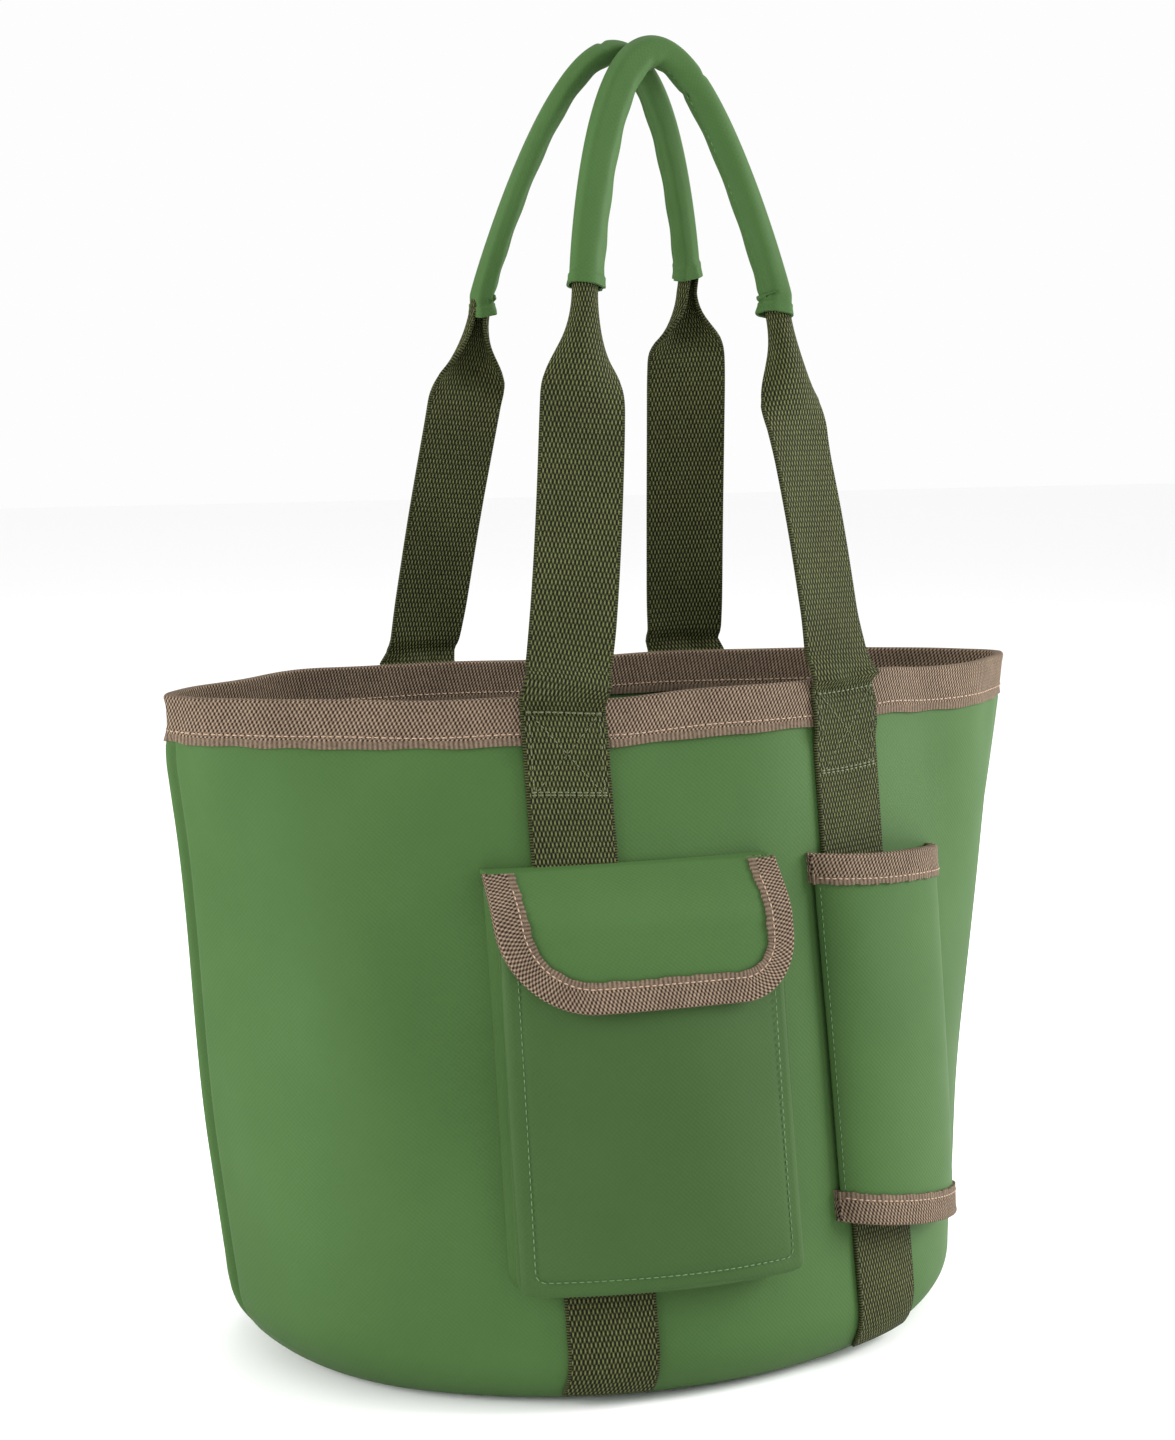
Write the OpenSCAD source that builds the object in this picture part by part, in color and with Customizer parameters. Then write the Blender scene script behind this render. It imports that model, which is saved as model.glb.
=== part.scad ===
// Garden tool bag: a soft oval tub with a flap pocket, an open sleeve pocket
// and two webbing handles. Front is -Y, up is +Z, the base stands on z = 0.

/* [Tub] */
// height of the cloth tub, mm
body_h = 302; // [250:1:360]
// width of the mouth, mm
mouth_w = 430; // [360:1:500]
// front to back size of the mouth, mm
mouth_d = 160; // [130:1:190]
// how sharply the mouth closes at its two ends, 1 = plain oval
mouth_point = 1.34; // [1:0.01:1.5]
// width of the base, mm
base_w = 346; // [300:1:400]
// front to back size of the base, mm
base_d = 280; // [235:1:320]
// radius of the soft lower edge, mm
edge_r = 28; // [20:1:34]
// thickness of the coated cloth with its lining, mm
cloth_t = 2; // [1.4:0.1:2.6]
// thickness of the stiffening board in the base, mm
board_t = 3; // [2:0.5:5]

/* [Binding tape] */
// width of the rim binding on each side of the cloth, mm
rim_tape_w = 19; // [12:0.5:24]
// width of the narrow binding on the pockets, mm
edge_tape_w = 12; // [8:0.5:15]
// thickness of the binding tape, mm
tape_t = 1.2; // [0.8:0.1:1.6]
// width of the tapes that cover the seams inside, mm
seam_tape_w = 9; // [6:0.5:14]

/* [Webbing] */
// width of the webbing, mm
web_w = 38; // [30:1:44]
// thickness of the webbing, mm
web_t = 1.8; // [1.4:0.1:2.4]
// distance between the two webbing legs of a handle, mm
web_pitch = 142; // [124:1:160]
// how far the webbing sits to the right of the middle, mm
web_shift = 11; // [0:1:20]
// clearance left between sewn layers, mm
layer_gap = 0.3; // [0.25:0.05:0.5]

/* [Handles] */
// height from the rim fold to the bottom of the grip cover, mm
leg_h = 170; // [130:1:210]
// height of the grip arch above its two ends, mm
grip_rise = 110; // [80:1:135]
// distance between the two ends of the grip, mm
grip_span = 98; // [80:1:116]
// how much wider the arch of the back grip is, mm
back_extra = 10; // [0:1:16]
// how pointed the arches are, 1 = half ellipse, 2 = parabola
grip_point = 1.8; // [1.2:0.1:2]
// sideways lean of the front grip, mm
front_lean = 10; // [-15:1:15]
// sideways lean of the back grip, mm
back_lean = -4; // [-15:1:15]
// width of the grip seen from the front, mm
grip_w = 15; // [12:0.5:20]
// depth of the grip seen from the side, mm
grip_d = 12; // [9:0.5:16]
// thickness of the grip cover cloth, mm
grip_cloth_t = 1.2; // [0.8:0.1:1.6]
// half the gap between the two grips where they meet, mm
grip_apart = 0.4; // [0.3:0.1:5]
// radius of the rolled webbing at the rim fold, mm
fold_r = 2; // [1.5:0.1:2.5]

/* [Flap pocket] */
// middle of the flap pocket, left of the middle of the bag, mm
pocket_x = -36; // [-55:1:-25]
// width of the flap pocket, mm
pocket_w = 128; // [110:1:140]
// height of the pocket bottom above the floor, mm
pocket_z = 54; // [40:1:80]
// height of the sewn top edge of the flap, mm
flap_z = 230; // [200:1:245]
// how far the pocket mouth lies below the flap edge, mm
mouth_drop = 20; // [14:1:30]
// how far the pocket stands out at its bottom, mm
pocket_depth_low = 11; // [6:0.5:20]
// how far the pocket stands out at its mouth, mm
pocket_depth_top = 16; // [8:0.5:24]
// radius of the lower pocket corners, mm
pocket_corner = 12; // [6:1:24]
// width added to the flap on each side of the pocket, mm
flap_over = 3; // [1:0.5:8]
// height of the flap from its sewn edge to its lowest point, mm
flap_h = 57; // [45:1:75]
// radius of the lower flap corners, mm
flap_corner = 34; // [16:1:40]
// how far the flap hinge line stands in front of the cloth, mm
hinge_proud = 4; // [3.6:0.1:6]

/* [Sleeve pocket] */
// middle of the sleeve pocket, right of the middle of the bag, mm
sleeve_x = 97; // [85:1:105]
// width of the sleeve pocket, mm
sleeve_w = 82; // [64:1:84]
// height of the lower edge above the floor, mm
sleeve_z = 56; // [40:1:80]
// height of the sleeve pocket, mm
sleeve_h = 169; // [130:1:185]
// how far the sleeve pocket stands out in its middle, mm
sleeve_bulge = 14; // [9:0.5:20]

/* [Hidden] */

// angle round the lower edge where the wall is sewn to the base, 90 = flat base
seam_angle = 55;
// angle round the lower edge where the wall straps end
strap_end_angle = 48;
// heights of the section lines round the soft lower edge
function edge_z(angle) = edge_r * (1 - sin(angle));
edge_rows = [for (angle = [seam_angle:-11:0]) edge_z(angle)];
wall_rows = concat(edge_rows, [for (k = [1:9]) edge_r + (body_h - edge_r) * k / 9]);
// steps round half of the tub
half_steps = 44;
strap_over_tape = 2 * layer_gap + tape_t;
strap_left_x = web_shift - web_pitch / 2;
strap_right_x = web_shift + web_pitch / 2;
strap_top_z = body_h + layer_gap + tape_t;
// the rolled fold turns just above the sewn straps
fold_clear = 0.5;
fold_z = strap_top_z + fold_clear + fold_r;

cloth_green = [0.34, 0.5, 0.28];
tape_brown = [0.45, 0.37, 0.31];
web_olive = [0.24, 0.29, 0.16];
board_grey = [0.25, 0.25, 0.25];

// ---- the tub surface -------------------------------------------------------
function mix(a, b, k) = a + (b - a) * k;
function clip01(k) = min(1, max(0, k));
function half_w(z) = mix(base_w, mouth_w, z / body_h) / 2;
function half_d(z) = mix(base_d, mouth_d, z / body_h) / 2;
function point_at(z) = mix(1, mouth_point, z / body_h);
function edge_angle(z) = z < edge_r ? asin((edge_r - z) / edge_r) : 0;
function edge_inset(z, off) = z < edge_r ? edge_r - (edge_r + off) * cos(edge_angle(z)) : -off;
function edge_height(z, off) = z < edge_r ? edge_r - (edge_r + off) * sin(edge_angle(z)) : z;
function plan(angle, a, b, k) = [a * cos(angle), b * sign(sin(angle)) * pow(abs(sin(angle)), k)];
// point of the tub at plan angle and height, off mm outside the cloth
function tub(angle, z, off) =
  let (inset = edge_inset(z, off), p = plan(angle, half_w(z) - inset, half_d(z) - inset, point_at(z)))
  [p[0], p[1], edge_height(z, off)];
// the same, asked for by its x position; side = -1 front, 1 back
function tub_x(x, z, off, side) = tub(side * acos(x / (half_w(z) - edge_inset(z, 0))), z, off);

// ---- closed solids from loops of points ------------------------------------
// loops all have the same even number of points; the ends are closed like a ladder
module loft(loops, closed = false) {
  n = len(loops[0]);
  m = len(loops);
  spans = closed ? m : m - 1;
  skin = [for (i = [0:spans - 1], j = [0:n - 1])
    let (a = i * n + j, b = i * n + (j + 1) % n, c = ((i + 1) % m) * n + (j + 1) % n, d = ((i + 1) % m) * n + j)
    each [[a, b, c], [a, c, d]]];
  last = (m - 1) * n;
  caps = closed ? [] : [for (j = [0:n / 2 - 2])
    let (a = j, b = j + 1, c = n - 2 - j, d = n - 1 - j)
    each [[a, c, b], [a, d, c], [last + a, last + b, last + c], [last + a, last + c, last + d]]];
  polyhedron(points = [for (l = loops) each l], faces = concat(skin, caps), convexity = 8);
}
function back_to_front(list) = [for (k = [len(list) - 1:-1:0]) list[k]];
// outline of a folded tape as pairs [distance in from the edge, height over mid cloth]
function folded_tape(width, cloth) =
  let (i = cloth / 2 + layer_gap, o = i + tape_t)
  [[width, o], [-layer_gap - tape_t, o], [-layer_gap - tape_t, -o], [width, -o],
   [width, -i], [-layer_gap, -i], [-layer_gap, i], [width, i]];

// ---- tub parts ---------------------------------------------------------------
module wall_panel(from) {
  loft([for (k = [0:half_steps]) let (angle = from + 180 * k / half_steps)
    concat([for (z = wall_rows) tub(angle, z, 0)],
      [for (z = back_to_front(wall_rows)) tub(angle, z, -cloth_t)])]);
}
module front_panel() { color(cloth_green) wall_panel(180); }
module back_panel() { color(cloth_green) wall_panel(0); }

module base_panel() {
  angles = [seam_angle, 66, 78, 90];
  color(cloth_green) loft(concat(
    [for (a = back_to_front(angles)) base_loop(edge_z(a), -cloth_t)],
    [for (a = angles) base_loop(edge_z(a), 0)]));
}
function base_loop(z, off) = [for (k = [2 * half_steps - 1:-1:0]) tub(180 * k / half_steps, z, off)];

module base_board() {
  color(board_grey) translate([0, 0, cloth_t + layer_gap]) linear_extrude(board_t)
    polygon([for (angle = [0:6:354]) plan(angle, base_w / 2 - edge_r, base_d / 2 - edge_r, 1)]);
}

module rim_binding() {
  color(tape_brown) loft([for (k = [0:2 * half_steps - 1]) let (angle = 180 * k / half_steps)
    [for (s = folded_tape(rim_tape_w, cloth_t)) tub(angle, body_h - s[0], s[1] - cloth_t / 2)]], true);
}

// tape over the raw edges of a side seam, standing inward from the end of the tub
module side_seam_tape(dir) {
  start = cloth_t + 0.8;
  rows = [for (k = [0:6]) mix(edge_r + 2, body_h - rim_tape_w - 2, k / 6)];
  color(tape_brown) loft([for (z = rows) let (x = half_w(z) - start)
    [[dir * x, -dir * tape_t, z], [dir * x, dir * tape_t, z],
     [dir * (x - seam_tape_w), dir * tape_t, z], [dir * (x - seam_tape_w), -dir * tape_t, z]]]);
}
module left_seam_tape() { side_seam_tape(-1); }
module right_seam_tape() { side_seam_tape(1); }

module base_seam_tape() {
  rows = [for (angle = [66, 55, 44]) edge_z(angle)];
  inner = -cloth_t - layer_gap;
  color(tape_brown) loft([for (k = [0:2 * half_steps - 1]) let (angle = 180 * k / half_steps)
    concat([for (z = rows) tub(angle, z, inner)],
      [for (z = back_to_front(rows)) tub(angle, z, inner - tape_t)])], true);
}

// ---- webbing sewn to the wall --------------------------------------------------
// the webbing lies on the cloth and steps out over the rim binding
function strap_off(z) = mix(layer_gap, strap_over_tape, clip01((z - body_h + rim_tape_w + 9) / 7));
module wall_strap(x, side) {
  rows = concat([for (angle = [strap_end_angle:-12:0]) edge_z(angle)],
    [for (k = [1:7]) mix(edge_r, body_h - rim_tape_w - 9, k / 7)],
    [body_h - rim_tape_w - 2, strap_top_z]);
  color(web_olive) loft([for (z = rows) let (in = strap_off(z))
    concat([for (k = [-2:2]) tub_x(x - side * k * web_w / 4, z, in, side)],
      [for (k = [2:-1:-2]) tub_x(x - side * k * web_w / 4, z, in + web_t, side)])]);
}
module front_left_strap() { wall_strap(strap_left_x, -1); }
module front_right_strap() { wall_strap(strap_right_x, -1); }
module back_left_strap() { wall_strap(strap_left_x, 1); }
module back_right_strap() { wall_strap(strap_right_x, 1); }

// ---- flap pocket ---------------------------------------------------------------
pocket_left = pocket_x - pocket_w / 2;
pocket_right = pocket_x + pocket_w / 2;
pocket_mouth_z = flap_z - mouth_drop;
// the pocket stands out square to the straight line between its two top corners
hinge_a = tub_x(pocket_left, flap_z, 0, -1);
hinge_b = tub_x(pocket_right, flap_z, 0, -1);
pocket_turn = atan2(hinge_b[1] - hinge_a[1], hinge_b[0] - hinge_a[0]);
pocket_out = [sin(pocket_turn), -cos(pocket_turn), 0];
function pocket_at(x, z, out) = tub_x(x, z, 0, -1) + out * pocket_out;
function pocket_depth(z) = mix(pocket_depth_low, pocket_depth_top,
  clip01((z - pocket_z) / (pocket_mouth_z - pocket_z)));
// the side walls start in front of the webbing that runs under the pocket
pocket_start = web_t + 2 * layer_gap;
// how far a rounded corner of radius r cuts in, h above the lower edge
function corner_cut(h, r) = h < r ? r - sqrt(r * r - (r - h) * (r - h)) : 0;
// U-shaped path down one side, along the bottom and up the other; bend is a height it must pass
function corner_path(left, right, low, top, r, bend) = concat(
  [for (k = [0:2]) [left, mix(top, bend, k / 3)]],
  [for (k = [0:3]) [left, mix(bend, low + r, k / 3)]],
  [for (a = [9:9:90]) [left + r - r * cos(a), low + r - r * sin(a)]],
  [for (k = [1:7]) [mix(left + r, right - r, k / 8), low]],
  [for (a = [90:-9:0]) [right - r + r * cos(a), low + r - r * sin(a)]],
  [for (k = [1:3]) [right, mix(low + r, bend, k / 3)]],
  [for (k = [1:3]) [right, mix(bend, top, k / 3)]]);

module pocket_gusset() {
  outer = corner_path(pocket_left, pocket_right, pocket_z, gusset_top_z, pocket_corner, pocket_mouth_z);
  inner = corner_path(pocket_left + cloth_t, pocket_right - cloth_t, pocket_z + cloth_t, gusset_top_z,
    pocket_corner - cloth_t, pocket_mouth_z);
  color(cloth_green) loft([for (k = [0:len(outer) - 1])
    [gusset_point(outer[k], 1), gusset_point(outer[k], 0), gusset_point(inner[k], 0), gusset_point(inner[k], 1)]]);
}
gusset_top_z = flap_z - 6;
function gusset_out(z) = z > pocket_mouth_z ?
  mix(pocket_depth_top, pocket_start + 2, (z - pocket_mouth_z) / (gusset_top_z - pocket_mouth_z)) : pocket_depth(z);
function gusset_point(p, far) = pocket_at(p[0], p[1], far == 1 ? gusset_out(p[1]) : pocket_start);

pocket_rows = concat([for (h = [0, 1, 3, 6, 12]) pocket_z + h * pocket_corner / 12],
  [for (k = [1:6]) mix(pocket_z + pocket_corner, pocket_mouth_z - layer_gap, k / 6)]);
module pocket_panel() {
  color(cloth_green) loft([for (z = pocket_rows)
    let (cut = corner_cut(z - pocket_z, pocket_corner), in = pocket_depth(z) + layer_gap)
    concat([for (k = [0:14]) pocket_at(mix(pocket_right - cut, pocket_left + cut, k / 14), z, in)],
      [for (k = [14:-1:0]) pocket_at(mix(pocket_right - cut, pocket_left + cut, k / 14), z, in + cloth_t)])]);
}
module pocket_mouth_binding() {
  mid = layer_gap + cloth_t / 2;
  side = cloth_t + layer_gap;
  color(tape_brown) loft([for (k = [0:14])
    let (x = mix(pocket_left + side, pocket_right - side, k / 14))
    [for (s = folded_tape(edge_tape_w, cloth_t)) let (z = pocket_mouth_z - s[0])
      pocket_at(x, z, pocket_depth(z) + mid + s[1])]]);
}

// ---- flap ------------------------------------------------------------------------
// the flap turns about a straight line just in front of the most curved part of the wall
flap_mid_bulge = max([for (k = [0:20])
  let (p = tub_x(mix(pocket_left, pocket_right, k / 20), flap_z, 0, -1) - hinge_a) p * pocket_out]);
function hinge_at(x) =
  let (k = (x - hinge_a[0]) / (hinge_b[0] - hinge_a[0]))
  mix(hinge_a, hinge_b, k) + (flap_mid_bulge + hinge_proud) * pocket_out;
flap_rest = layer_gap + cloth_t + layer_gap + tape_t + 0.4 + tape_t + layer_gap + cloth_t / 2;
function flap_at(x, z, up) =
  let (k = clip01((flap_z - z) / (flap_z - flap_shoulder_z)),
    a = hinge_at(x), b = pocket_at(x, z, pocket_depth(z) + flap_rest + up), p = mix(a + up * pocket_out, b, k))
  [p[0], p[1], z];
// below this height the flap hangs in front of the pocket, above it slopes to its hinge
flap_shoulder_z = pocket_mouth_z + layer_gap + tape_t + 4;
flap_left = pocket_left - flap_over;
flap_right = pocket_right + flap_over;
flap_edge_in = tape_t + layer_gap;
module flap_panel() {
  low = flap_z - flap_h + flap_edge_in;
  r = flap_corner - flap_edge_in;
  rows = concat([for (a = [90:-9:0]) low + r - r * sin(a)],
    [for (k = [1:3]) mix(low + r, flap_shoulder_z, k / 3)], [for (k = [1:3]) mix(flap_shoulder_z, flap_z, k / 3)]);
  color(cloth_green) loft([for (z = rows)
    let (cut = corner_cut(z - low, r) + flap_edge_in)
    concat([for (k = [0:14]) flap_at(mix(flap_right - cut, flap_left + cut, k / 14), z, -cloth_t / 2)],
      [for (k = [14:-1:0]) flap_at(mix(flap_right - cut, flap_left + cut, k / 14), z, cloth_t / 2)])]);
}
module flap_binding() {
  low = flap_z - flap_h;
  edge = corner_path(flap_left, flap_right, low, flap_z, flap_corner, flap_shoulder_z);
  deep = corner_path(flap_left + edge_tape_w, flap_right - edge_tape_w, low + edge_tape_w, flap_z,
    flap_corner - edge_tape_w, flap_shoulder_z);
  // loops run from the folded edge inward on both faces of the flap
  color(tape_brown) loft([for (k = [0:len(edge) - 1])
    [for (s = folded_tape(edge_tape_w, cloth_t))
      let (in = (s[0] + flap_edge_in) / (edge_tape_w + flap_edge_in), p = mix(edge[k], deep[k], in))
      flap_at(p[0], p[1], s[1])]]);
}

// ---- sleeve pocket -----------------------------------------------------------------
sleeve_left = sleeve_x - sleeve_w / 2;
function sleeve_out(k) = layer_gap + sleeve_bulge * pow(sin(180 * k), 0.6);
function sleeve_at(k, z, up) = tub_x(sleeve_left + sleeve_w * k, z, sleeve_out(k) + cloth_t / 2 + up, -1);
sleeve_steps = [0, 0.02, 0.06, 0.12, 0.2, 0.3, 0.4, 0.5, 0.6, 0.7, 0.8, 0.88, 0.94, 0.98, 1];
module sleeve_panel() {
  low = sleeve_z + flap_edge_in;
  top = sleeve_z + sleeve_h - flap_edge_in;
  color(cloth_green) loft([for (j = [0:6]) let (z = mix(low, top, j / 6))
    concat([for (k = back_to_front(sleeve_steps)) sleeve_at(k, z, -cloth_t / 2)],
      [for (k = sleeve_steps) sleeve_at(k, z, cloth_t / 2)])]);
}
module sleeve_binding(edge, dir) {
  color(tape_brown) loft([for (k = sleeve_steps) let (q = mix(0.05, 0.95, k))
    [for (s = folded_tape(edge_tape_w, cloth_t)) sleeve_at(q, edge + dir * (s[0] + flap_edge_in), s[1])]]);
}
module sleeve_bottom_binding() { sleeve_binding(sleeve_z, 1); }
module sleeve_top_binding() { sleeve_binding(sleeve_z + sleeve_h, -1); }

// ---- handles -------------------------------------------------------------------------
// the fold line of a handle runs through the tops of its two wall straps
function fold_at(x, side) =
  let (p = tub_x(x, body_h, strap_over_tape + web_t / 2, side)) [p[0], p[1], fold_z];
// point of a handle: x across, h above the fold, out in front of the handle plane
function handle_at(side, x, h, out) =
  let (a = fold_at(strap_left_x, side), b = fold_at(strap_right_x, side), p = mix(a, b, (x - a[0]) / (b[0] - a[0])),
    top = side * (grip_d / 2 + grip_apart), k = h / (leg_h + grip_rise),
    slope = (top - (a[1] + b[1]) / 2) / (leg_h + grip_rise))
  [p[0], mix(p[1], top, k) + side * out * cos(atan(slope)), fold_z + h - side * out * sin(atan(slope))];
// middle of an arch at angle a: across, and height over the fold
function grip_mid(lean, span, a) = [web_shift + lean - span / 2 * cos(a),
  leg_h + grip_rise * sign(sin(a)) * pow(abs(sin(a)), grip_point)];
// the way out of the arch, square to its line; its two ends stand upright
upright_below = 0.04;
function grip_out(span, a) = abs(sin(a)) < upright_below ? [-sign(cos(a)), 0] :
  let (along = [span / 2 * sin(a), grip_rise * grip_point * pow(abs(sin(a)), grip_point - 1) * cos(a)])
  [-along[1], along[0]] / norm(along);
function grip_at(side, lean, span, a, grow, out) =
  let (p = grip_mid(lean, span, a) + grow * grip_out(span, a)) handle_at(side, p[0], p[1], out);
// width and thickness of the webbing, k = 0 at the fold and 1 at the grip
// the square webbing bundle fits inside the rounded cover
core_fill = 0.74;
core_w = core_fill * (grip_w - 2 * grip_cloth_t - 2 * layer_gap);
core_t = core_fill * (grip_d - 2 * grip_cloth_t - 2 * layer_gap);
function leg_width(k) = mix(web_w, core_w, clip01((k - 0.66) / 0.3));
function leg_thick(k) = mix(web_t, core_t, clip01((k - 0.66) / 0.3));
function flat_loop(side, x, h, width, thick) =
  [handle_at(side, x - width / 2, h, -thick / 2), handle_at(side, x + width / 2, h, -thick / 2),
   handle_at(side, x + width / 2, h, thick / 2), handle_at(side, x - width / 2, h, thick / 2)];
function flipped(loop) = [loop[1], loop[0], loop[3], loop[2]];
function leg_loops(side, x0, x1) = concat(
  [for (a = [-80:40:0]) flat_loop(side, x0, fold_r * sin(a), web_w, 2 * fold_r * cos(a))],
  [flat_loop(side, x0, fold_r * 0.9, web_w, web_t)],
  [for (k = [0.15, 0.35, 0.55, 0.66, 0.76, 0.86, 0.96])
    flat_loop(side, mix(x0, x1, k), leg_h * k, leg_width(k), leg_thick(k))]);
module handle_webbing(side, lean, span) {
  left = leg_loops(side, strap_left_x, grip_mid(lean, span, 0)[0]);
  right = leg_loops(side, strap_right_x, grip_mid(lean, span, 180)[0]);
  color(web_olive) loft(concat(left,
    [for (a = [0:10:180])
      [for (s = [[1, -1], [-1, -1], [-1, 1], [1, 1]])
        grip_at(side, lean, span, a, s[0] * core_w / 2, s[1] * core_t / 2)]],
    [for (l = back_to_front(right)) flipped(l)]));
}
module grip_cover(side, lean, span) {
  color(cloth_green) loft([for (q = [0:22.5:337.5])
    concat([for (a = [-4:8:180]) grip_skin(side, lean, span, a, q, grip_w / 2, grip_d / 2)],
      [for (a = [180:-8:-4]) grip_skin(side, lean, span, a, q, grip_w / 2 - grip_cloth_t, grip_d / 2 - grip_cloth_t)])],
    true);
}
function grip_skin(side, lean, span, a, q, rw, rd) =
  let (grow = rw * sign(cos(q)) * pow(abs(cos(q)), 0.7))
  grip_at(side, lean, span, a, grow, rd * sign(sin(q)) * pow(abs(sin(q)), 0.7));
module front_handle_webbing() { handle_webbing(-1, front_lean, grip_span); }
module back_handle_webbing() { handle_webbing(1, back_lean, grip_span + back_extra); }
module front_grip_cover() { grip_cover(-1, front_lean, grip_span); }
module back_grip_cover() { grip_cover(1, back_lean, grip_span + back_extra); }

front_panel();
back_panel();
base_panel();
base_board();
rim_binding();
left_seam_tape();
right_seam_tape();
base_seam_tape();
front_left_strap();
front_right_strap();
back_left_strap();
back_right_strap();
pocket_panel();
pocket_gusset();
pocket_mouth_binding();
sleeve_panel();
sleeve_top_binding();
sleeve_bottom_binding();
flap_panel();
flap_binding();
front_handle_webbing();
front_grip_cover();
back_handle_webbing();
back_grip_cover();
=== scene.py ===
import math

import bpy
import numpy as np
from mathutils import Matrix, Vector


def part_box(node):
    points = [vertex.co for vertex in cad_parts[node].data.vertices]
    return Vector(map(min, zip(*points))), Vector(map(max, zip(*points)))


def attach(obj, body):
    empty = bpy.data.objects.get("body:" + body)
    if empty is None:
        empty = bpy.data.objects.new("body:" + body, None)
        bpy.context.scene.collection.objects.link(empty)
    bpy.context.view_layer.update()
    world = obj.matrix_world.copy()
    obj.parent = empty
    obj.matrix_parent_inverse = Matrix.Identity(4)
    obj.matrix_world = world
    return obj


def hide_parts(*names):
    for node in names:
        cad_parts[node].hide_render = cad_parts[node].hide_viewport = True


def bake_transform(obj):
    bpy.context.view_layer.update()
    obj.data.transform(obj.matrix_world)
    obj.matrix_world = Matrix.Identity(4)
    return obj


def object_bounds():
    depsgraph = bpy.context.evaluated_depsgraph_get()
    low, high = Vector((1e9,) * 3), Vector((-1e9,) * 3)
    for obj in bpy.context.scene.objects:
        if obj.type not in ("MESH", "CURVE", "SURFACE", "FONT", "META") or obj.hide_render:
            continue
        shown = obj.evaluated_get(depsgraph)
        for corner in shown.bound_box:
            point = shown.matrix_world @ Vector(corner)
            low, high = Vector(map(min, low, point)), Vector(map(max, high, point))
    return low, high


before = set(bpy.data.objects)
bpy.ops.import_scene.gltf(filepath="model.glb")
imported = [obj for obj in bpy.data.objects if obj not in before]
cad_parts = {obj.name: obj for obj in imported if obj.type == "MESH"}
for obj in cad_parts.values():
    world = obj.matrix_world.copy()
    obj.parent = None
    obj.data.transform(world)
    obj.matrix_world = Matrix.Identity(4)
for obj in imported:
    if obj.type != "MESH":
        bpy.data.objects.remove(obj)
cad_low, cad_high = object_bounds()

# ---- Studio -----------------------------------------------------------------
# A pale floor in a white room, with a large soft box far round on the right, a weaker one on
# the left and one overhead. The camera stands left of the front and looks a little down.

def linear(code):
    """An sRGB hex colour such as "4f7a45" as linear RGBA."""
    parts = [int(code[i:i + 2], 16) / 255 for i in (0, 2, 4)]
    return tuple(c / 12.92 if c <= 0.04045 else ((c + 0.055) / 1.055) ** 2.4 for c in parts) + (1.0,)


def add_node(tree, kind, settings=None, sockets=None):
    """Adds a node. sockets maps an input's name or number to a value or to the output that feeds it."""
    node = tree.nodes.new(kind)
    for key, value in (settings or {}).items():
        setattr(node, key, value)
    for key, value in (sockets or {}).items():
        if isinstance(value, bpy.types.NodeSocket):
            tree.links.new(value, node.inputs[key])
        else:
            node.inputs[key].default_value = value
    return node


def new_material(name):
    """An empty node material, its tree and its surface socket."""
    material = bpy.data.materials.new(name)
    material.use_nodes = True
    tree = material.node_tree
    tree.nodes.clear()
    output = add_node(tree, "ShaderNodeOutputMaterial")
    return material, tree, output.inputs["Surface"]


scene = bpy.context.scene
scene.view_settings.view_transform = "Standard"

camera_data = bpy.data.cameras.new("camera")
camera_data.lens = 68.17
camera = bpy.data.objects.new("camera", camera_data)
camera_yaw, camera_dip = math.radians(26.63), math.radians(7.16)
camera.location = (-0.5735, -1.1245, 0.4392)
camera_looks = Vector((math.sin(camera_yaw) * math.cos(camera_dip),
                       math.cos(camera_yaw) * math.cos(camera_dip), -math.sin(camera_dip)))
camera.rotation_euler = camera_looks.to_track_quat("-Z", "Y").to_euler()
scene.collection.objects.link(camera)
scene.camera = camera


def soft_box(name, place, aim, size, watts):
    """A square area light that faces a point."""
    light = bpy.data.lights.new(name, "AREA")
    light.size = size
    light.energy = watts
    lamp = bpy.data.objects.new(name, light)
    lamp.location = place
    lamp.rotation_euler = (Vector(aim) - Vector(place)).to_track_quat("-Z", "Y").to_euler()
    scene.collection.objects.link(lamp)


bag_middle = (cad_low + cad_high) / 2
soft_box("right_soft_box", (2.0, -0.75, 1.0), bag_middle, 1.1, 78)
soft_box("left_soft_box", (-2.0, -0.25, 0.8), bag_middle, 1.2, 46)
soft_box("top_soft_box", (0.2, 0.3, 2.1), bag_middle, 1.2, 10)

world = bpy.data.worlds.new("pale_room")
world.use_nodes = True
world.node_tree.nodes["Background"].inputs["Color"].default_value = linear("fdfdfd")
world.node_tree.nodes["Background"].inputs["Strength"].default_value = 1.0
scene.world = world


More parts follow.
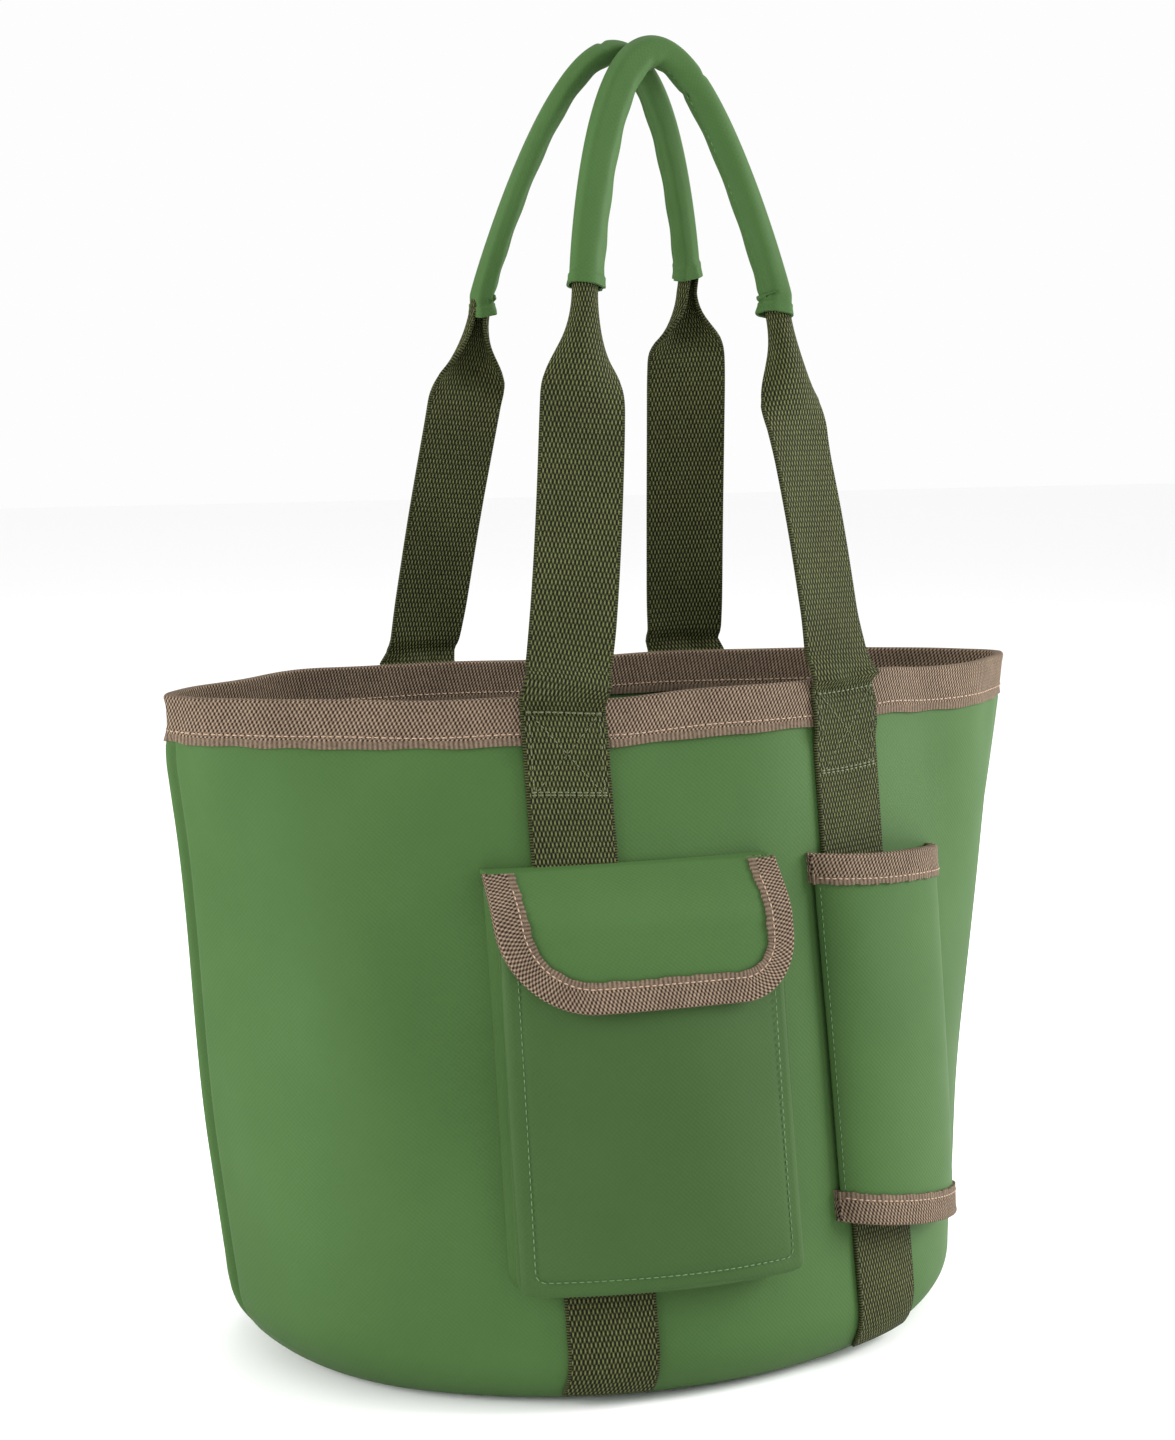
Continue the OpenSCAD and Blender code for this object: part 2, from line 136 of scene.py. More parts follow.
def grid_mesh(name, points, outward, uv=None, ring=False, close_end=False):
    """A mesh of rows of points. outward is the way the middle face has to look; uv is in metres of cloth.
    With ring the last point of a row joins the first; close_end fills the last row of a ring."""
    rows, cols = points.shape[:2]
    spans = cols if ring else cols - 1
    i, j = np.meshgrid(np.arange(rows - 1), np.arange(spans), indexing="ij")
    k = (j + 1) % cols
    corners = [(i, j), (i, k), (i + 1, k), (i + 1, j)]
    uv_corners = [(i, j), (i, j + 1), (i + 1, j + 1), (i + 1, j)]
    r, c = (rows - 1) // 2, spans // 2
    a, b, d = points[r, c], points[r, (c + 1) % cols], points[r + 1, c]
    if np.dot(np.cross(b - a, d - a), np.array(outward, float)) < 0:
        corners, uv_corners = corners[::-1], uv_corners[::-1]
    faces = np.stack([row * cols + col for row, col in corners], -1).reshape(-1, 4).tolist()
    if uv is None:
        uv = cloth_lengths(points, ring)
    loops = np.stack([uv[row, col] for row, col in uv_corners], 2).reshape(-1, 2)
    if close_end:
        last = list(range((rows - 1) * cols, rows * cols))
        faces.append(last[::-1] if corners[0][0] is not i else last)
        loops = np.concatenate([loops, np.zeros((cols, 2))])
    mesh = bpy.data.meshes.new(name)
    mesh.from_pydata(points.reshape(-1, 3).tolist(), [], faces)
    layer = mesh.uv_layers.new(name="cloth_metres")
    layer.data.foreach_set("uv", loops.astype(np.float32).ravel())
    mesh.shade_smooth()
    piece = bpy.data.objects.new(name, mesh)
    scene.collection.objects.link(piece)
    return piece


def cloth_lengths(points, ring=False):
    """UV in metres, measured along the mean row and the mean column."""
    wide = np.concatenate([points, points[:, :1]], 1) if ring else points
    across = np.linalg.norm(np.diff(wide, axis=1), axis=2).mean(0)
    along = np.linalg.norm(np.diff(points, axis=0), axis=2).mean(1)
    u = np.concatenate([[0], np.cumsum(across)])
    v = np.concatenate([[0], np.cumsum(along)])
    return np.stack(np.meshgrid(u, v), -1)


floor_half = 8.0
floor_points = np.array([[(x, y, 0.0) for x in (-floor_half, floor_half)] for y in (-floor_half, floor_half)])
floor = grid_mesh("studio_floor", floor_points, (0, 0, 1))
paper, tree, surface = new_material("matt_white_background_paper")
paper_grain = add_node(tree, "ShaderNodeTexNoise", None, {"Scale": 3.0})
paper_tone = add_node(tree, "ShaderNodeMix", {"data_type": "RGBA"},
                      {"Factor": paper_grain.outputs[0], "A": linear("fafafa"), "B": linear("fcfcfc")})
shader = add_node(tree, "ShaderNodeBsdfPrincipled", None,
                  {"Base Color": paper_tone.outputs["Result"], "Roughness": 0.95, "Specular IOR Level": 0.1})
tree.links.new(shader.outputs[0], surface)
floor.data.materials.append(paper)

# ---- Tub: front, back and base panels --------------------------------------------
# The body of the bag: two wall panels sewn together down the sides and to an oval base, cut
# from green polyester oxford with a matt waterproof coating. The cloth is stiff enough to
# stand; its mouth closes to a point at both ends and its lower edge is softly rounded.

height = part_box("front_panel")[1].z
mouth_w, mouth_d, mouth_point = 0.430, 0.160, 1.34
base_w, base_d, edge_r = 0.346, 0.280, 0.028
cloth_t = 0.002
seam_angle, seam_lap = 55, 0.6


def mix(a, b, k):
    return a + (b - a) * k


def smooth(k):
    k = np.clip(k, 0, 1)
    return k * k * (3 - 2 * k)


def hump(value, middle, width):
    """A soft bump, 1 at its middle."""
    return np.exp(-((value - middle) / width) ** 2)


def half_w(z):
    """Half the width of the tub at a height."""
    return mix(base_w, mouth_w, z / height) / 2


def half_d(z):
    """Half its depth, front to back."""
    return mix(base_d, mouth_d, z / height) / 2


def edge_angle(z):
    """How far round the soft lower edge a height lies."""
    return np.where(z < edge_r, np.arcsin(np.clip((edge_r - z) / edge_r, -1, 1)), 0.0)


def edge_inset(z, off):
    """How far the lower edge is turned in at a height."""
    return np.where(z < edge_r, edge_r - (edge_r + off) * np.cos(edge_angle(z)), -off)


def slack(angle, x, y, z):
    """How far the cloth stands off its drawn shape: slow waves, a groove and a raised edge at each
    side seam, and a hollow and a belly left of the flap pocket."""
    rise = np.sin(np.clip(z / height, 0, 1) * math.pi) ** 0.7
    waves = 0.0011 * np.sin(angle * 3 + 0.8) + 0.0007 * np.sin(angle * 7 - z * 13 + 2.0)
    waves = waves + 0.0005 * np.sin(angle * 12 + z * 31 + 0.4)
    high = smooth((z - 0.19) / 0.11)
    rim = 0.0010 * np.sin(angle * 9 + 1.1) + 0.0007 * np.sin(angle * 17 + 0.2)
    side = np.abs(y)
    # the seam allowance is pressed to one side, so the cloth stands higher on that side of the seam
    pressed = np.where(x * y < 0, 0.0021 * hump(side, 0.0045, 0.0055), 0.0004)
    ridge = pressed * hump(side, 0.0, 0.03) - 0.0040 * hump(side, 0.0, 0.0026)
    ridge = ridge * smooth((z - 0.012) / 0.03) * (1 - smooth((z - 0.280) / 0.010))
    front = y < 0
    hollow = np.where(front, -0.0016 * hump(x, -0.118, 0.022) * hump(z, 0.185, 0.07), 0)
    belly = np.where(front, 0.0022 * hump(x, -0.15, 0.03) * hump(z, 0.10, 0.09), 0)
    return (waves * rise + rim * high) * (1 - hump(side, 0, 0.01)) + ridge + hollow + belly


def rim_drop(x, y, z):
    """The mouth is not level: it dips beside the left strap and lifts towards the right end."""
    front = -0.0026 * hump(x, -0.034, 0.030) + 0.0026 * hump(x, 0.112, 0.024) - 0.0010 * hump(x, -0.12, 0.03)
    back = -0.0022 * hump(x, 0.01, 0.04) + 0.0015 * hump(x, -0.13, 0.03)
    return np.where(y < 0, front, back) * smooth((z - 0.16) / 0.14)


left_belly, left_tuck, right_lean, right_tuck = 0.0070, 0.0030, 0.0052, 0.0065


def end_shift(x, z):
    """The two ends are not alike: the left one bellies out low down and tucks in at the rim, the right
    one leans out high up and tucks in near the floor."""
    left = -left_belly * smooth((0.25 - z) / 0.15) * smooth(z / 0.035) + left_tuck * smooth((z - 0.27) / 0.03)
    right = right_lean * smooth((z - 0.06) / 0.24) - right_tuck * hump(z, 0.028, 0.022)
    return np.where(x < 0, left * smooth((-x - 0.09) / 0.08), right * smooth((x - 0.135) / 0.06))


def tub(angle, z, off):
    """Point of the tub at a plan angle and height, off metres outside the cloth's face."""
    angle, z, off = np.broadcast_arrays(*(np.asarray(v, float) for v in (angle, z, off)))
    point = mix(1.0, mouth_point, z / height)
    bend = np.sign(np.sin(angle)) * np.abs(np.sin(angle)) ** point
    flat_inset = edge_inset(z, 0.0)
    x0 = (half_w(z) - flat_inset) * np.cos(angle)
    y0 = (half_d(z) - flat_inset) * bend
    off = off + slack(angle, x0, y0, z)
    inset = edge_inset(z, off)
    up = np.where(z < edge_r, edge_r - (edge_r + off) * np.sin(edge_angle(z)), z)
    up = up + rim_drop(x0, y0, z)
    across = (half_w(z) - inset) * np.cos(angle)
    return np.stack([across + end_shift(across, z), (half_d(z) - inset) * bend, up], -1)


def tub_x(x, z, off, side):
    """The same, asked for by its x position; side is -1 at the front and 1 at the back."""
    x, z, off = np.broadcast_arrays(*(np.asarray(v, float) for v in (x, z, off)))
    across = np.clip(x / (half_w(z) - edge_inset(z, 0.0)), -1, 1)
    return tub(side * np.arccos(across), z, off)


def edge_z(degrees):
    """Height at an angle round the lower edge; 90 is flat on the floor."""
    return edge_r * (1 - np.sin(np.radians(degrees)))


def thicken(piece, thickness, offset=-1.0, round_edge=0.0003):
    """Gives a sheet its thickness and takes the sharpness off its cut edge."""
    solid = piece.modifiers.new("thickness", "SOLIDIFY")
    solid.thickness = thickness
    solid.offset = offset
    solid.use_even_offset = False
    bevel = piece.modifiers.new("soft_edge", "BEVEL")
    bevel.width = round_edge
    bevel.segments = 2
    bevel.limit_method = "ANGLE"
    bevel.angle_limit = math.radians(50)


def sew_in(piece, material, thickness, node, body, offset=-1.0, round_edge=0.0003):
    """Gives a sheet its material and thickness, and puts it in the place of its plain solid. A sheet that
    crosses a hinge names no body, and is left unattached here."""
    piece.data.materials.append(material)
    thicken(piece, thickness, offset, round_edge)
    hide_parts(node)
    if body:
        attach(piece, body)


# Matt coated oxford: a close plain weave under a soft plastic film. The film fills the weave, so the cloth
# looks even, with a low broad shine, faint cloudy tone and a hint of threads, their hollows a little darker
# with painted shade.
# Its threads are 0.5 mm apart; they are drawn at 1.1 mm, or they would not show at all.
thread_pitch = 0.0011


def coated_oxford(name, base, shade):
    material, tree, surface = new_material(name)
    place = add_node(tree, "ShaderNodeTexCoord")
    cloud = add_node(tree, "ShaderNodeTexNoise", None,
                     {"Vector": place.outputs["Object"], "Scale": 9.0, "Detail": 4.0, "Roughness": 0.55})
    grit = add_node(tree, "ShaderNodeTexNoise", None,
                    {"Vector": place.outputs["Object"], "Scale": 700.0, "Detail": 2.0})
    tone = add_node(tree, "ShaderNodeMapRange", None,
                    {"Value": cloud.outputs[0], "From Min": 0.32, "From Max": 0.68})
    colour = add_node(tree, "ShaderNodeMix", {"data_type": "RGBA"},
                      {"Factor": tone.outputs[0], "A": linear(shade), "B": linear(base)})
    lengths = add_node(tree, "ShaderNodeUVMap", {"uv_map": "cloth_metres"})
    split = add_node(tree, "ShaderNodeSeparateXYZ", None, {0: lengths.outputs[0]})
    threads = []
    for axis in (0, 1):
        turn = add_node(tree, "ShaderNodeMath", {"operation": "MULTIPLY"},
                        {0: split.outputs[axis], 1: math.pi / thread_pitch})
        threads.append(add_node(tree, "ShaderNodeMath", {"operation": "SINE"}, {0: turn.outputs[0]}))
    weave = add_node(tree, "ShaderNodeMath", {"operation": "MULTIPLY"},
                     {0: threads[0].outputs[0], 1: threads[1].outputs[0]})
    relief = add_node(tree, "ShaderNodeMath", {"operation": "MULTIPLY_ADD"},
                      {0: weave.outputs[0], 1: 0.5, 2: grit.outputs[0]})
    # the tone follows the weave's relief and a fine random grit: painted shade in the weave's hollows, random
    # flecks from the grit
    weave_shade_and_grit = add_node(tree, "ShaderNodeMapRange", None,
                     {"Value": relief.outputs[0], "From Min": -0.1, "From Max": 1.1,
                      "To Min": 0.955, "To Max": 1.045})
    tinted = add_node(tree, "ShaderNodeHueSaturation", None,
                      {"Color": colour.outputs["Result"], "Value": weave_shade_and_grit.outputs[0]})
    gloss = add_node(tree, "ShaderNodeMapRange", None,
                     {"Value": cloud.outputs[0], "From Min": 0.3, "From Max": 0.7,
                      "To Min": 0.66, "To Max": 0.54})
    bump = add_node(tree, "ShaderNodeBump", None,
                    {"Strength": 0.35, "Distance": 0.00012, "Height": relief.outputs[0]})
    shader = add_node(tree, "ShaderNodeBsdfPrincipled", None,
                      {"Base Color": tinted.outputs[0], "Roughness": gloss.outputs[0], "IOR": 1.46,
                       "Specular IOR Level": 0.10, "Normal": bump.outputs[0]})
    tree.links.new(shader.outputs[0], surface)
    return material


oxford = coated_oxford("coated_polyester_oxford", "3d592f", "38532b")

wall_rows = np.concatenate([edge_z(np.linspace(seam_angle, 0, 14)), np.linspace(edge_r, height, 118)[1:]])
# the columns stand closer together towards the side seams
wall_share = np.linspace(0, 1, 281)
wall_cols = math.pi * wall_share - 0.35 * np.sin(wall_share * math.tau)
for name, start, outward in (("front_panel", math.pi, (0, -1, 0)), ("back_panel", 0.0, (0, 1, 0))):
    wall = grid_mesh(name + "_cloth", tub(start + wall_cols[None, :], wall_rows[:, None], 0.0), outward)
    sew_in(wall, oxford, cloth_t, name, "bag")

# the base is one oval with its edge turned up to the wall, closed at its middle
base_turn = np.radians(np.linspace(0, 360, 240, endpoint=False))
base_rows = [tub(base_turn, edge_z(a), 0.0) for a in np.linspace(seam_angle - seam_lap, 90, 12)]
base_rim = base_rows[-1]
base_rows += [base_rim * [k, k, 1] for k in np.linspace(0.93, 0.01, 15)]
base = grid_mesh("base_panel_cloth", np.array(base_rows), (0, 0, -1), ring=True, close_end=True)
sew_in(base, oxford, cloth_t, "base_panel", "bag")

# ---- Base board --------------------------------------------------------------------
# A stiff oval of grey-black fibreboard that lies loose on the base and keeps it flat.
# It is die cut, so its edge is only a little rounded.

board_low, board_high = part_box("base_board")
board_edge = 0.0006
board_turn = np.radians(np.linspace(0, 360, 120, endpoint=False))
board_shape = np.stack([np.cos(board_turn), np.sin(board_turn), 0 * board_turn], -1)
board_half = np.array([board_high.x, board_high.y, 0])
board_rows = [board_shape * board_half * k + [0, 0, board_high.z] for k in np.linspace(0.02, 0.995, 12)]
board_rows += [board_shape * board_half + [0, 0, z]
               for z in (board_high.z - board_edge, board_low.z + board_edge)]
board_rows += [board_shape * board_half * k + [0, 0, board_low.z] for k in (0.995, 0.5, 0.02)]
board_rows = [board_rows[0] * [1e-4, 1e-4, 1]] + board_rows + [board_rows[-1] * [1e-4, 1e-4, 1]]
board = grid_mesh("base_board_plate", np.array(board_rows), (1, 0, 0), ring=True, close_end=True)

# Pressed fibreboard: matt, dark, with short pale fibres about 4 mm long just below the skin.
fibreboard, tree, surface = new_material("pressed_fibreboard")
place = add_node(tree, "ShaderNodeTexCoord")
lay = add_node(tree, "ShaderNodeMapping", None, {"Vector": place.outputs["Object"], "Scale": (250, 900, 250)})
fibres = add_node(tree, "ShaderNodeTexNoise", None, {"Vector": lay.outputs[0], "Scale": 1.0, "Detail": 3.0})
tone = add_node(tree, "ShaderNodeMix", {"data_type": "RGBA"},
                {"Factor": fibres.outputs[0], "A": linear("26282a"), "B": linear("4b4b48")})
bump = add_node(tree, "ShaderNodeBump", None,
                {"Strength": 0.3, "Distance": 0.0002, "Height": fibres.outputs[0]})
shader = add_node(tree, "ShaderNodeBsdfPrincipled", None,
                  {"Base Color": tone.outputs["Result"], "Roughness": 0.8, "Normal": bump.outputs[0]})
tree.links.new(shader.outputs[0], surface)
board.data.materials.append(fibreboard)
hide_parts("base_board")
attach(board, "bag")

# ---- Rim binding and seam tapes -----------------------------------------------------
# Brown woven polyester tape, folded over the raw edge of the mouth and stitched through
# near its lower edge. The same tape covers the side seams and the base seam inside.

rim_tape_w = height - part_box("rim_binding")[0].z
tape_t, layer_gap = 0.0012, 0.0003


def wave(tree, value, pitch):
    """A cosine along a length in metres."""
    turn = add_node(tree, "ShaderNodeMath", {"operation": "MULTIPLY"}, {0: value, 1: math.tau / pitch})
    return add_node(tree, "ShaderNodeMath", {"operation": "COSINE"}, {0: turn.outputs[0]}).outputs[0]


def shade_yarns(tree, surface, weave, rib, across, selvage_from, look):
    """Colours and raises yarns by their height: the weave, and past selvage_from the low ribs of the selvage;
    the low gaps and ribs are darkened with painted shade. look holds the colours, the fuzz and cloud of the
    yarn and its finish."""
    off_middle = add_node(tree, "ShaderNodeMath", {"operation": "ABSOLUTE"}, {0: across})
    selvage = add_node(tree, "ShaderNodeMath", {"operation": "GREATER_THAN"},
                       {0: off_middle.outputs[0], 1: selvage_from})
    ribs = add_node(tree, "ShaderNodeMath", {"operation": "MULTIPLY"}, {0: rib, 1: 0.25})
    relief = add_node(tree, "ShaderNodeMix", {"data_type": "FLOAT"},
                      {"Factor": selvage.outputs[0], "A": weave, "B": ribs.outputs[0]})
    place = add_node(tree, "ShaderNodeTexCoord")
    cloud = add_node(tree, "ShaderNodeTexNoise", None,
                     {"Vector": place.outputs["Object"], "Scale": look["cloud_scale"], "Detail": 3.0})
    fuzz = add_node(tree, "ShaderNodeTexNoise", None,
                    {"Vector": place.outputs["Object"], "Scale": look["fuzz_scale"], "Detail": 2.0})
    lift = add_node(tree, "ShaderNodeMapRange", None,
                    {"Value": relief.outputs["Result"], "From Min": look["gap"], "From Max": look["crown"]})
    uneven = add_node(tree, "ShaderNodeMath", {"operation": "MULTIPLY_ADD"},
                      {0: fuzz.outputs[0], 1: look["fuzz"], 2: lift.outputs[0]})
    factor = add_node(tree, "ShaderNodeMath", {"operation": "SUBTRACT"},
                      {0: uneven.outputs[0], 1: look["fuzz_middle"]})
    # the colour runs with the yarns' height: painted shade in the low gaps and ribs, the pale colour on the
    # crowns
    colour = add_node(tree, "ShaderNodeMix", {"data_type": "RGBA"},
                      {"Factor": factor.outputs[0], "A": linear(look["dark"]), "B": linear(look["light"])})
    shade = add_node(tree, "ShaderNodeMapRange", None,
                     {"Value": cloud.outputs[0], "From Min": 0.3, "From Max": 0.7,
                      "To Min": look["worn"][0], "To Max": look["worn"][1]})
    worn = add_node(tree, "ShaderNodeHueSaturation", None,
                    {"Color": colour.outputs["Result"], "Value": shade.outputs[0]})
    bump = add_node(tree, "ShaderNodeBump", None,
                    {"Strength": look["bump"], "Distance": look["yarn_height"], "Height": uneven.outputs[0]})
    shader = add_node(tree, "ShaderNodeBsdfPrincipled", None,
                      {"Base Color": worn.outputs[0], "Roughness": look["roughness"], "IOR": look["ior"],
                       "Specular IOR Level": 0.07, "Normal": bump.outputs[0]})
    tree.links.new(shader.outputs[0], surface)


# Woven tape: light yarns cross darker ones in slanting rows of small grains, 1.9 mm apart along the tape and
# 1.45 mm across it, with a faintly ribbed selvage 2.4 mm wide at each edge; the colour follows the weave's
# height, so the low yarns and ribs also carry painted shade.
def woven_tape(name, half_width):
    material, tree, surface = new_material(name)
    lengths = add_node(tree, "ShaderNodeUVMap", {"uv_map": "cloth_metres"})
    split = add_node(tree, "ShaderNodeSeparateXYZ", None, {0: lengths.outputs[0]})
    along, across = split.outputs[0], split.outputs[1]
    grain_along, grain_across, rib, selvage_w = 0.0019, 0.0029, 0.0021, 0.0024
    slanted = add_node(tree, "ShaderNodeMath", {"operation": "MULTIPLY_ADD"}, {0: across, 1: -0.3, 2: along})
    grains = add_node(tree, "ShaderNodeMath", {"operation": "MULTIPLY"},
                      {0: wave(tree, slanted.outputs[0], grain_along), 1: wave(tree, across, grain_across)})
    shade_yarns(tree, surface, grains.outputs[0], wave(tree, along, rib), across, half_width - selvage_w,
                {"light": "907d6a", "dark": "231a13", "worn": (0.9, 1.08), "cloud_scale": 60.0,
                 "fuzz_scale": 900.0, "fuzz": 0.5, "fuzz_middle": 0.25, "gap": -0.55, "crown": 0.95,
                 "bump": 0.8, "yarn_height": 0.0004, "roughness": 0.8, "ior": 1.5})
    return material


def fold_over(node, body, place_at, steps, width, material, outward, seed, ring=False, wobble=0.0003):
    """Tape folded over a cloth edge. place_at(step, inset, lift) gives the point of a step of the path,
    inset metres in from the edge and lift metres off the middle of the cloth."""
    out = cloth_t / 2 + layer_gap / 2
    flat = np.linspace(width, 0.0, 7)[:-1]
    bend = np.radians(np.linspace(0, 180, 9))
    inset = np.concatenate([flat, -(layer_gap + tape_t) * np.sin(bend), flat[::-1]])
    lift = np.concatenate([0 * flat + out, (out + tape_t * 0.3) * np.cos(bend), 0 * flat - out])
    face = np.sign(lift) * tape_t
    v = np.concatenate([[0], np.cumsum(np.hypot(np.diff(inset), np.diff(lift + face)))])
    rng = np.random.default_rng(seed)
    count = len(steps)
    phase = rng.uniform(0, 2 * math.pi, 4)
    k = np.linspace(0, 2 * math.pi, count, endpoint=not ring)[:, None]
    waver = sum(np.sin(k * n + p) for n, p in zip((7, 13, 23, 37), phase)) * wobble / 2
    edge = (inset / width).clip(0, 1)
    points = place_at(steps[:, None], inset + waver * edge, lift + face + waver * 0.4 * np.sign(lift) * edge)
    row = np.linalg.norm(np.diff(np.concatenate([points, points[:1]]) if ring else points, axis=0), axis=2)
    u = np.concatenate([[0], np.cumsum(row.mean(1))])
    points = points.transpose(1, 0, 2)
    uv = np.stack(np.meshgrid(u, v - v.mean()), -1)
    tape = grid_mesh(node + "_tape", points, outward, uv, ring=ring)
    sew_in(tape, material, tape_t, node, body)
    return tape


# half the strip's width, with its share of the turn over the edge
fold_share = 0.0025
rim_tape = woven_tape("woven_polyester_tape_wide", rim_tape_w + fold_share)
rim_steps = np.radians(np.linspace(0, 360, 720, endpoint=False))
fold_over("rim_binding", "bag", lambda t, inset, lift: tub(t, height - inset, lift - cloth_t / 2),
          rim_steps, rim_tape_w, rim_tape, (0, 0, 1), seed=3, ring=True, wobble=0.0004)


# Stitches: spun polyester thread, a little glossy, pulled into the cloth. Each stitch is a
# slim bead laid along its row, with a gap where the thread dips through.
def sewing_thread(name, colour, shade):
    material, tree, surface = new_material(name)
    place = add_node(tree, "ShaderNodeTexCoord")
    twist = add_node(tree, "ShaderNodeTexNoise", None,
                     {"Vector": place.outputs["Object"], "Scale": 1500.0, "Detail": 2.0})
    tone = add_node(tree, "ShaderNodeMix", {"data_type": "RGBA"},
                    {"Factor": twist.outputs[0], "A": linear(shade), "B": linear(colour)})
    bump = add_node(tree, "ShaderNodeBump", None,
                    {"Strength": 0.4, "Distance": 0.0001, "Height": twist.outputs[0]})
    shader = add_node(tree, "ShaderNodeBsdfPrincipled", None,
                      {"Base Color": tone.outputs["Result"], "Roughness": 0.5, "Normal": bump.outputs[0]})
    tree.links.new(shader.outputs[0], surface)
    return material


stitch_row = bpy.data.node_groups.new("stitch_row", "GeometryNodeTree")
stitch_inputs = {}
for label, kind in (("Rows", "Geometry"), ("Pitch", "Float"), ("Length", "Float"), ("Thickness", "Float"),
                    ("Thread", "Material")):
    socket = stitch_row.interface.new_socket(label, in_out="INPUT", socket_type="NodeSocket" + kind)
    stitch_inputs[label] = socket.identifier
stitch_row.interface.new_socket("Stitches", in_out="OUTPUT", socket_type="NodeSocketGeometry")
rows_in = add_node(stitch_row, "NodeGroupInput")
line = add_node(stitch_row, "GeometryNodeMeshToCurve", None, {"Mesh": rows_in.outputs["Rows"]})
spaced = add_node(stitch_row, "GeometryNodeResampleCurve", {"mode": "LENGTH"},
                  {"Curve": line.outputs[0], "Length": rows_in.outputs["Pitch"]})
spots = add_node(stitch_row, "GeometryNodeCurveToPoints", {"mode": "EVALUATED"}, {"Curve": spaced.outputs[0]})
bead = add_node(stitch_row, "GeometryNodeMeshUVSphere", None, {"Segments": 6, "Rings": 4, "Radius": 0.5})
bead_size = add_node(stitch_row, "ShaderNodeCombineXYZ", None,
                     {0: rows_in.outputs["Thickness"], 1: rows_in.outputs["Thickness"],
                      2: rows_in.outputs["Length"]})
laid = add_node(stitch_row, "GeometryNodeInstanceOnPoints", None,
                {"Points": spots.outputs["Points"], "Instance": bead.outputs["Mesh"],
                 "Rotation": spots.outputs["Rotation"], "Scale": bead_size.outputs[0]})
real = add_node(stitch_row, "GeometryNodeRealizeInstances", None, {0: laid.outputs[0]})
round_bead = add_node(stitch_row, "GeometryNodeSetShadeSmooth", None, {0: real.outputs[0]})
threaded = add_node(stitch_row, "GeometryNodeSetMaterial", None,
                    {"Geometry": round_bead.outputs[0], "Material": rows_in.outputs["Thread"]})
add_node(stitch_row, "NodeGroupOutput", None, {0: threaded.outputs[0]})


def sew(name, body, rows, thread, pitch=0.0032, length=0.0024, thickness=0.0007):
    """Rows of stitches along lists of points, as one mesh that moves with a body."""
    points, edges = [], []
    for row in rows:
        edges += [(len(points) + i, len(points) + i + 1) for i in range(len(row) - 1)]
        points += [tuple(p) for p in row]
    path = bpy.data.meshes.new(name + "_path")
    path.from_pydata(points, edges, [])
    guide = bpy.data.objects.new(name + "_path", path)
    scene.collection.objects.link(guide)
    stitcher = guide.modifiers.new("stitches", "NODES")
    stitcher.node_group = stitch_row
    for label, value in (("Pitch", pitch), ("Length", length), ("Thickness", thickness), ("Thread", thread)):
        stitcher[stitch_inputs[label]] = value
    made = guide.evaluated_get(bpy.context.evaluated_depsgraph_get())
    stitches = bpy.data.objects.new(name, bpy.data.meshes.new_from_object(made))
    scene.collection.objects.link(stitches)
    bpy.data.objects.remove(guide)
    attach(stitches, body)
    return stitches


brown_thread = sewing_thread("spun_polyester_thread_brown", "b89c84", "7d6552")
tape_face = layer_gap / 2 + tape_t + 0.0001
rim_stitch_z = height - rim_tape_w + 0.005
rim_line = np.radians(np.linspace(0, 360, 721))
rim_stitches = [tub(rim_line, rim_stitch_z, tape_face), tub(rim_line, rim_stitch_z, -cloth_t - tape_face)]
sew("rim_binding_stitches", "bag", rim_stitches, brown_thread)

# the raw edges of each side seam stand inwards as a fin, and a strip of tape is folded over them
edge_tape_w = 0.012
fin_start = 0.0009
fin_depth = np.array([0, 0.003, 0.006, 0.0085, 0.009, 0.0085, 0.006, 0.003, 0])
fin_side = np.array([1, 1, 1, 0.9, 0, -0.9, -1, -1, -1]) * tape_t
edge_tape = woven_tape("woven_polyester_tape_narrow", edge_tape_w + fold_share)
for name, side in (("left_seam_tape", -1), ("right_seam_tape", 1)):
    low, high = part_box(name)
    rows = np.linspace(low.z, high.z, 60)
    start = half_w(rows) - cloth_t - fin_start + side * end_shift(side * half_w(rows), rows)
    waver = 0.0006 * np.sin(rows * 60)
    points = np.stack(np.broadcast_arrays(side * (start[:, None] - fin_depth),
                                          fin_side[None, :] + waver[:, None], rows[:, None]), -1)
    seam = grid_mesh(name + "_strip", points, (-side, 0, 0))
    sew_in(seam, edge_tape, 0.0007, name, "bag")

base_seam_rows = edge_z(np.linspace(66, 44, 8))
base_seam = grid_mesh("base_seam_tape_ring", tub(rim_steps[None, ::2], base_seam_rows[:, None],
                      -cloth_t - layer_gap), (0, 1, 0), ring=True)
sew_in(base_seam, edge_tape, tape_t, "base_seam_tape", "bag", offset=1.0)

# ---- Straps and handle webbing --------------------------------------------------------
# Four lengths of 38 mm olive polypropylene webbing. Each is sewn up the wall from the base
# seam, crosses the rim and stands on as the leg of a handle, where its two edges roll
# inwards into a tube that the grip cover closes round.

web_w, web_t = 0.038, 0.0018
strap_left_x, strap_right_x = -0.060, 0.082
handle_mid = (strap_left_x + strap_right_x) / 2
strap_over_tape = 2 * layer_gap + tape_t
strap_top_z = height + layer_gap + tape_t
fold_rise = 0.0025
fold_z = strap_top_z + fold_rise
leg_h, grip_rise, grip_span = 0.170, 0.110, 0.098
grip_w, grip_d, grip_apart, grip_cloth_t = 0.015, 0.012, 0.0004, 0.0012
handle_top = leg_h + grip_rise
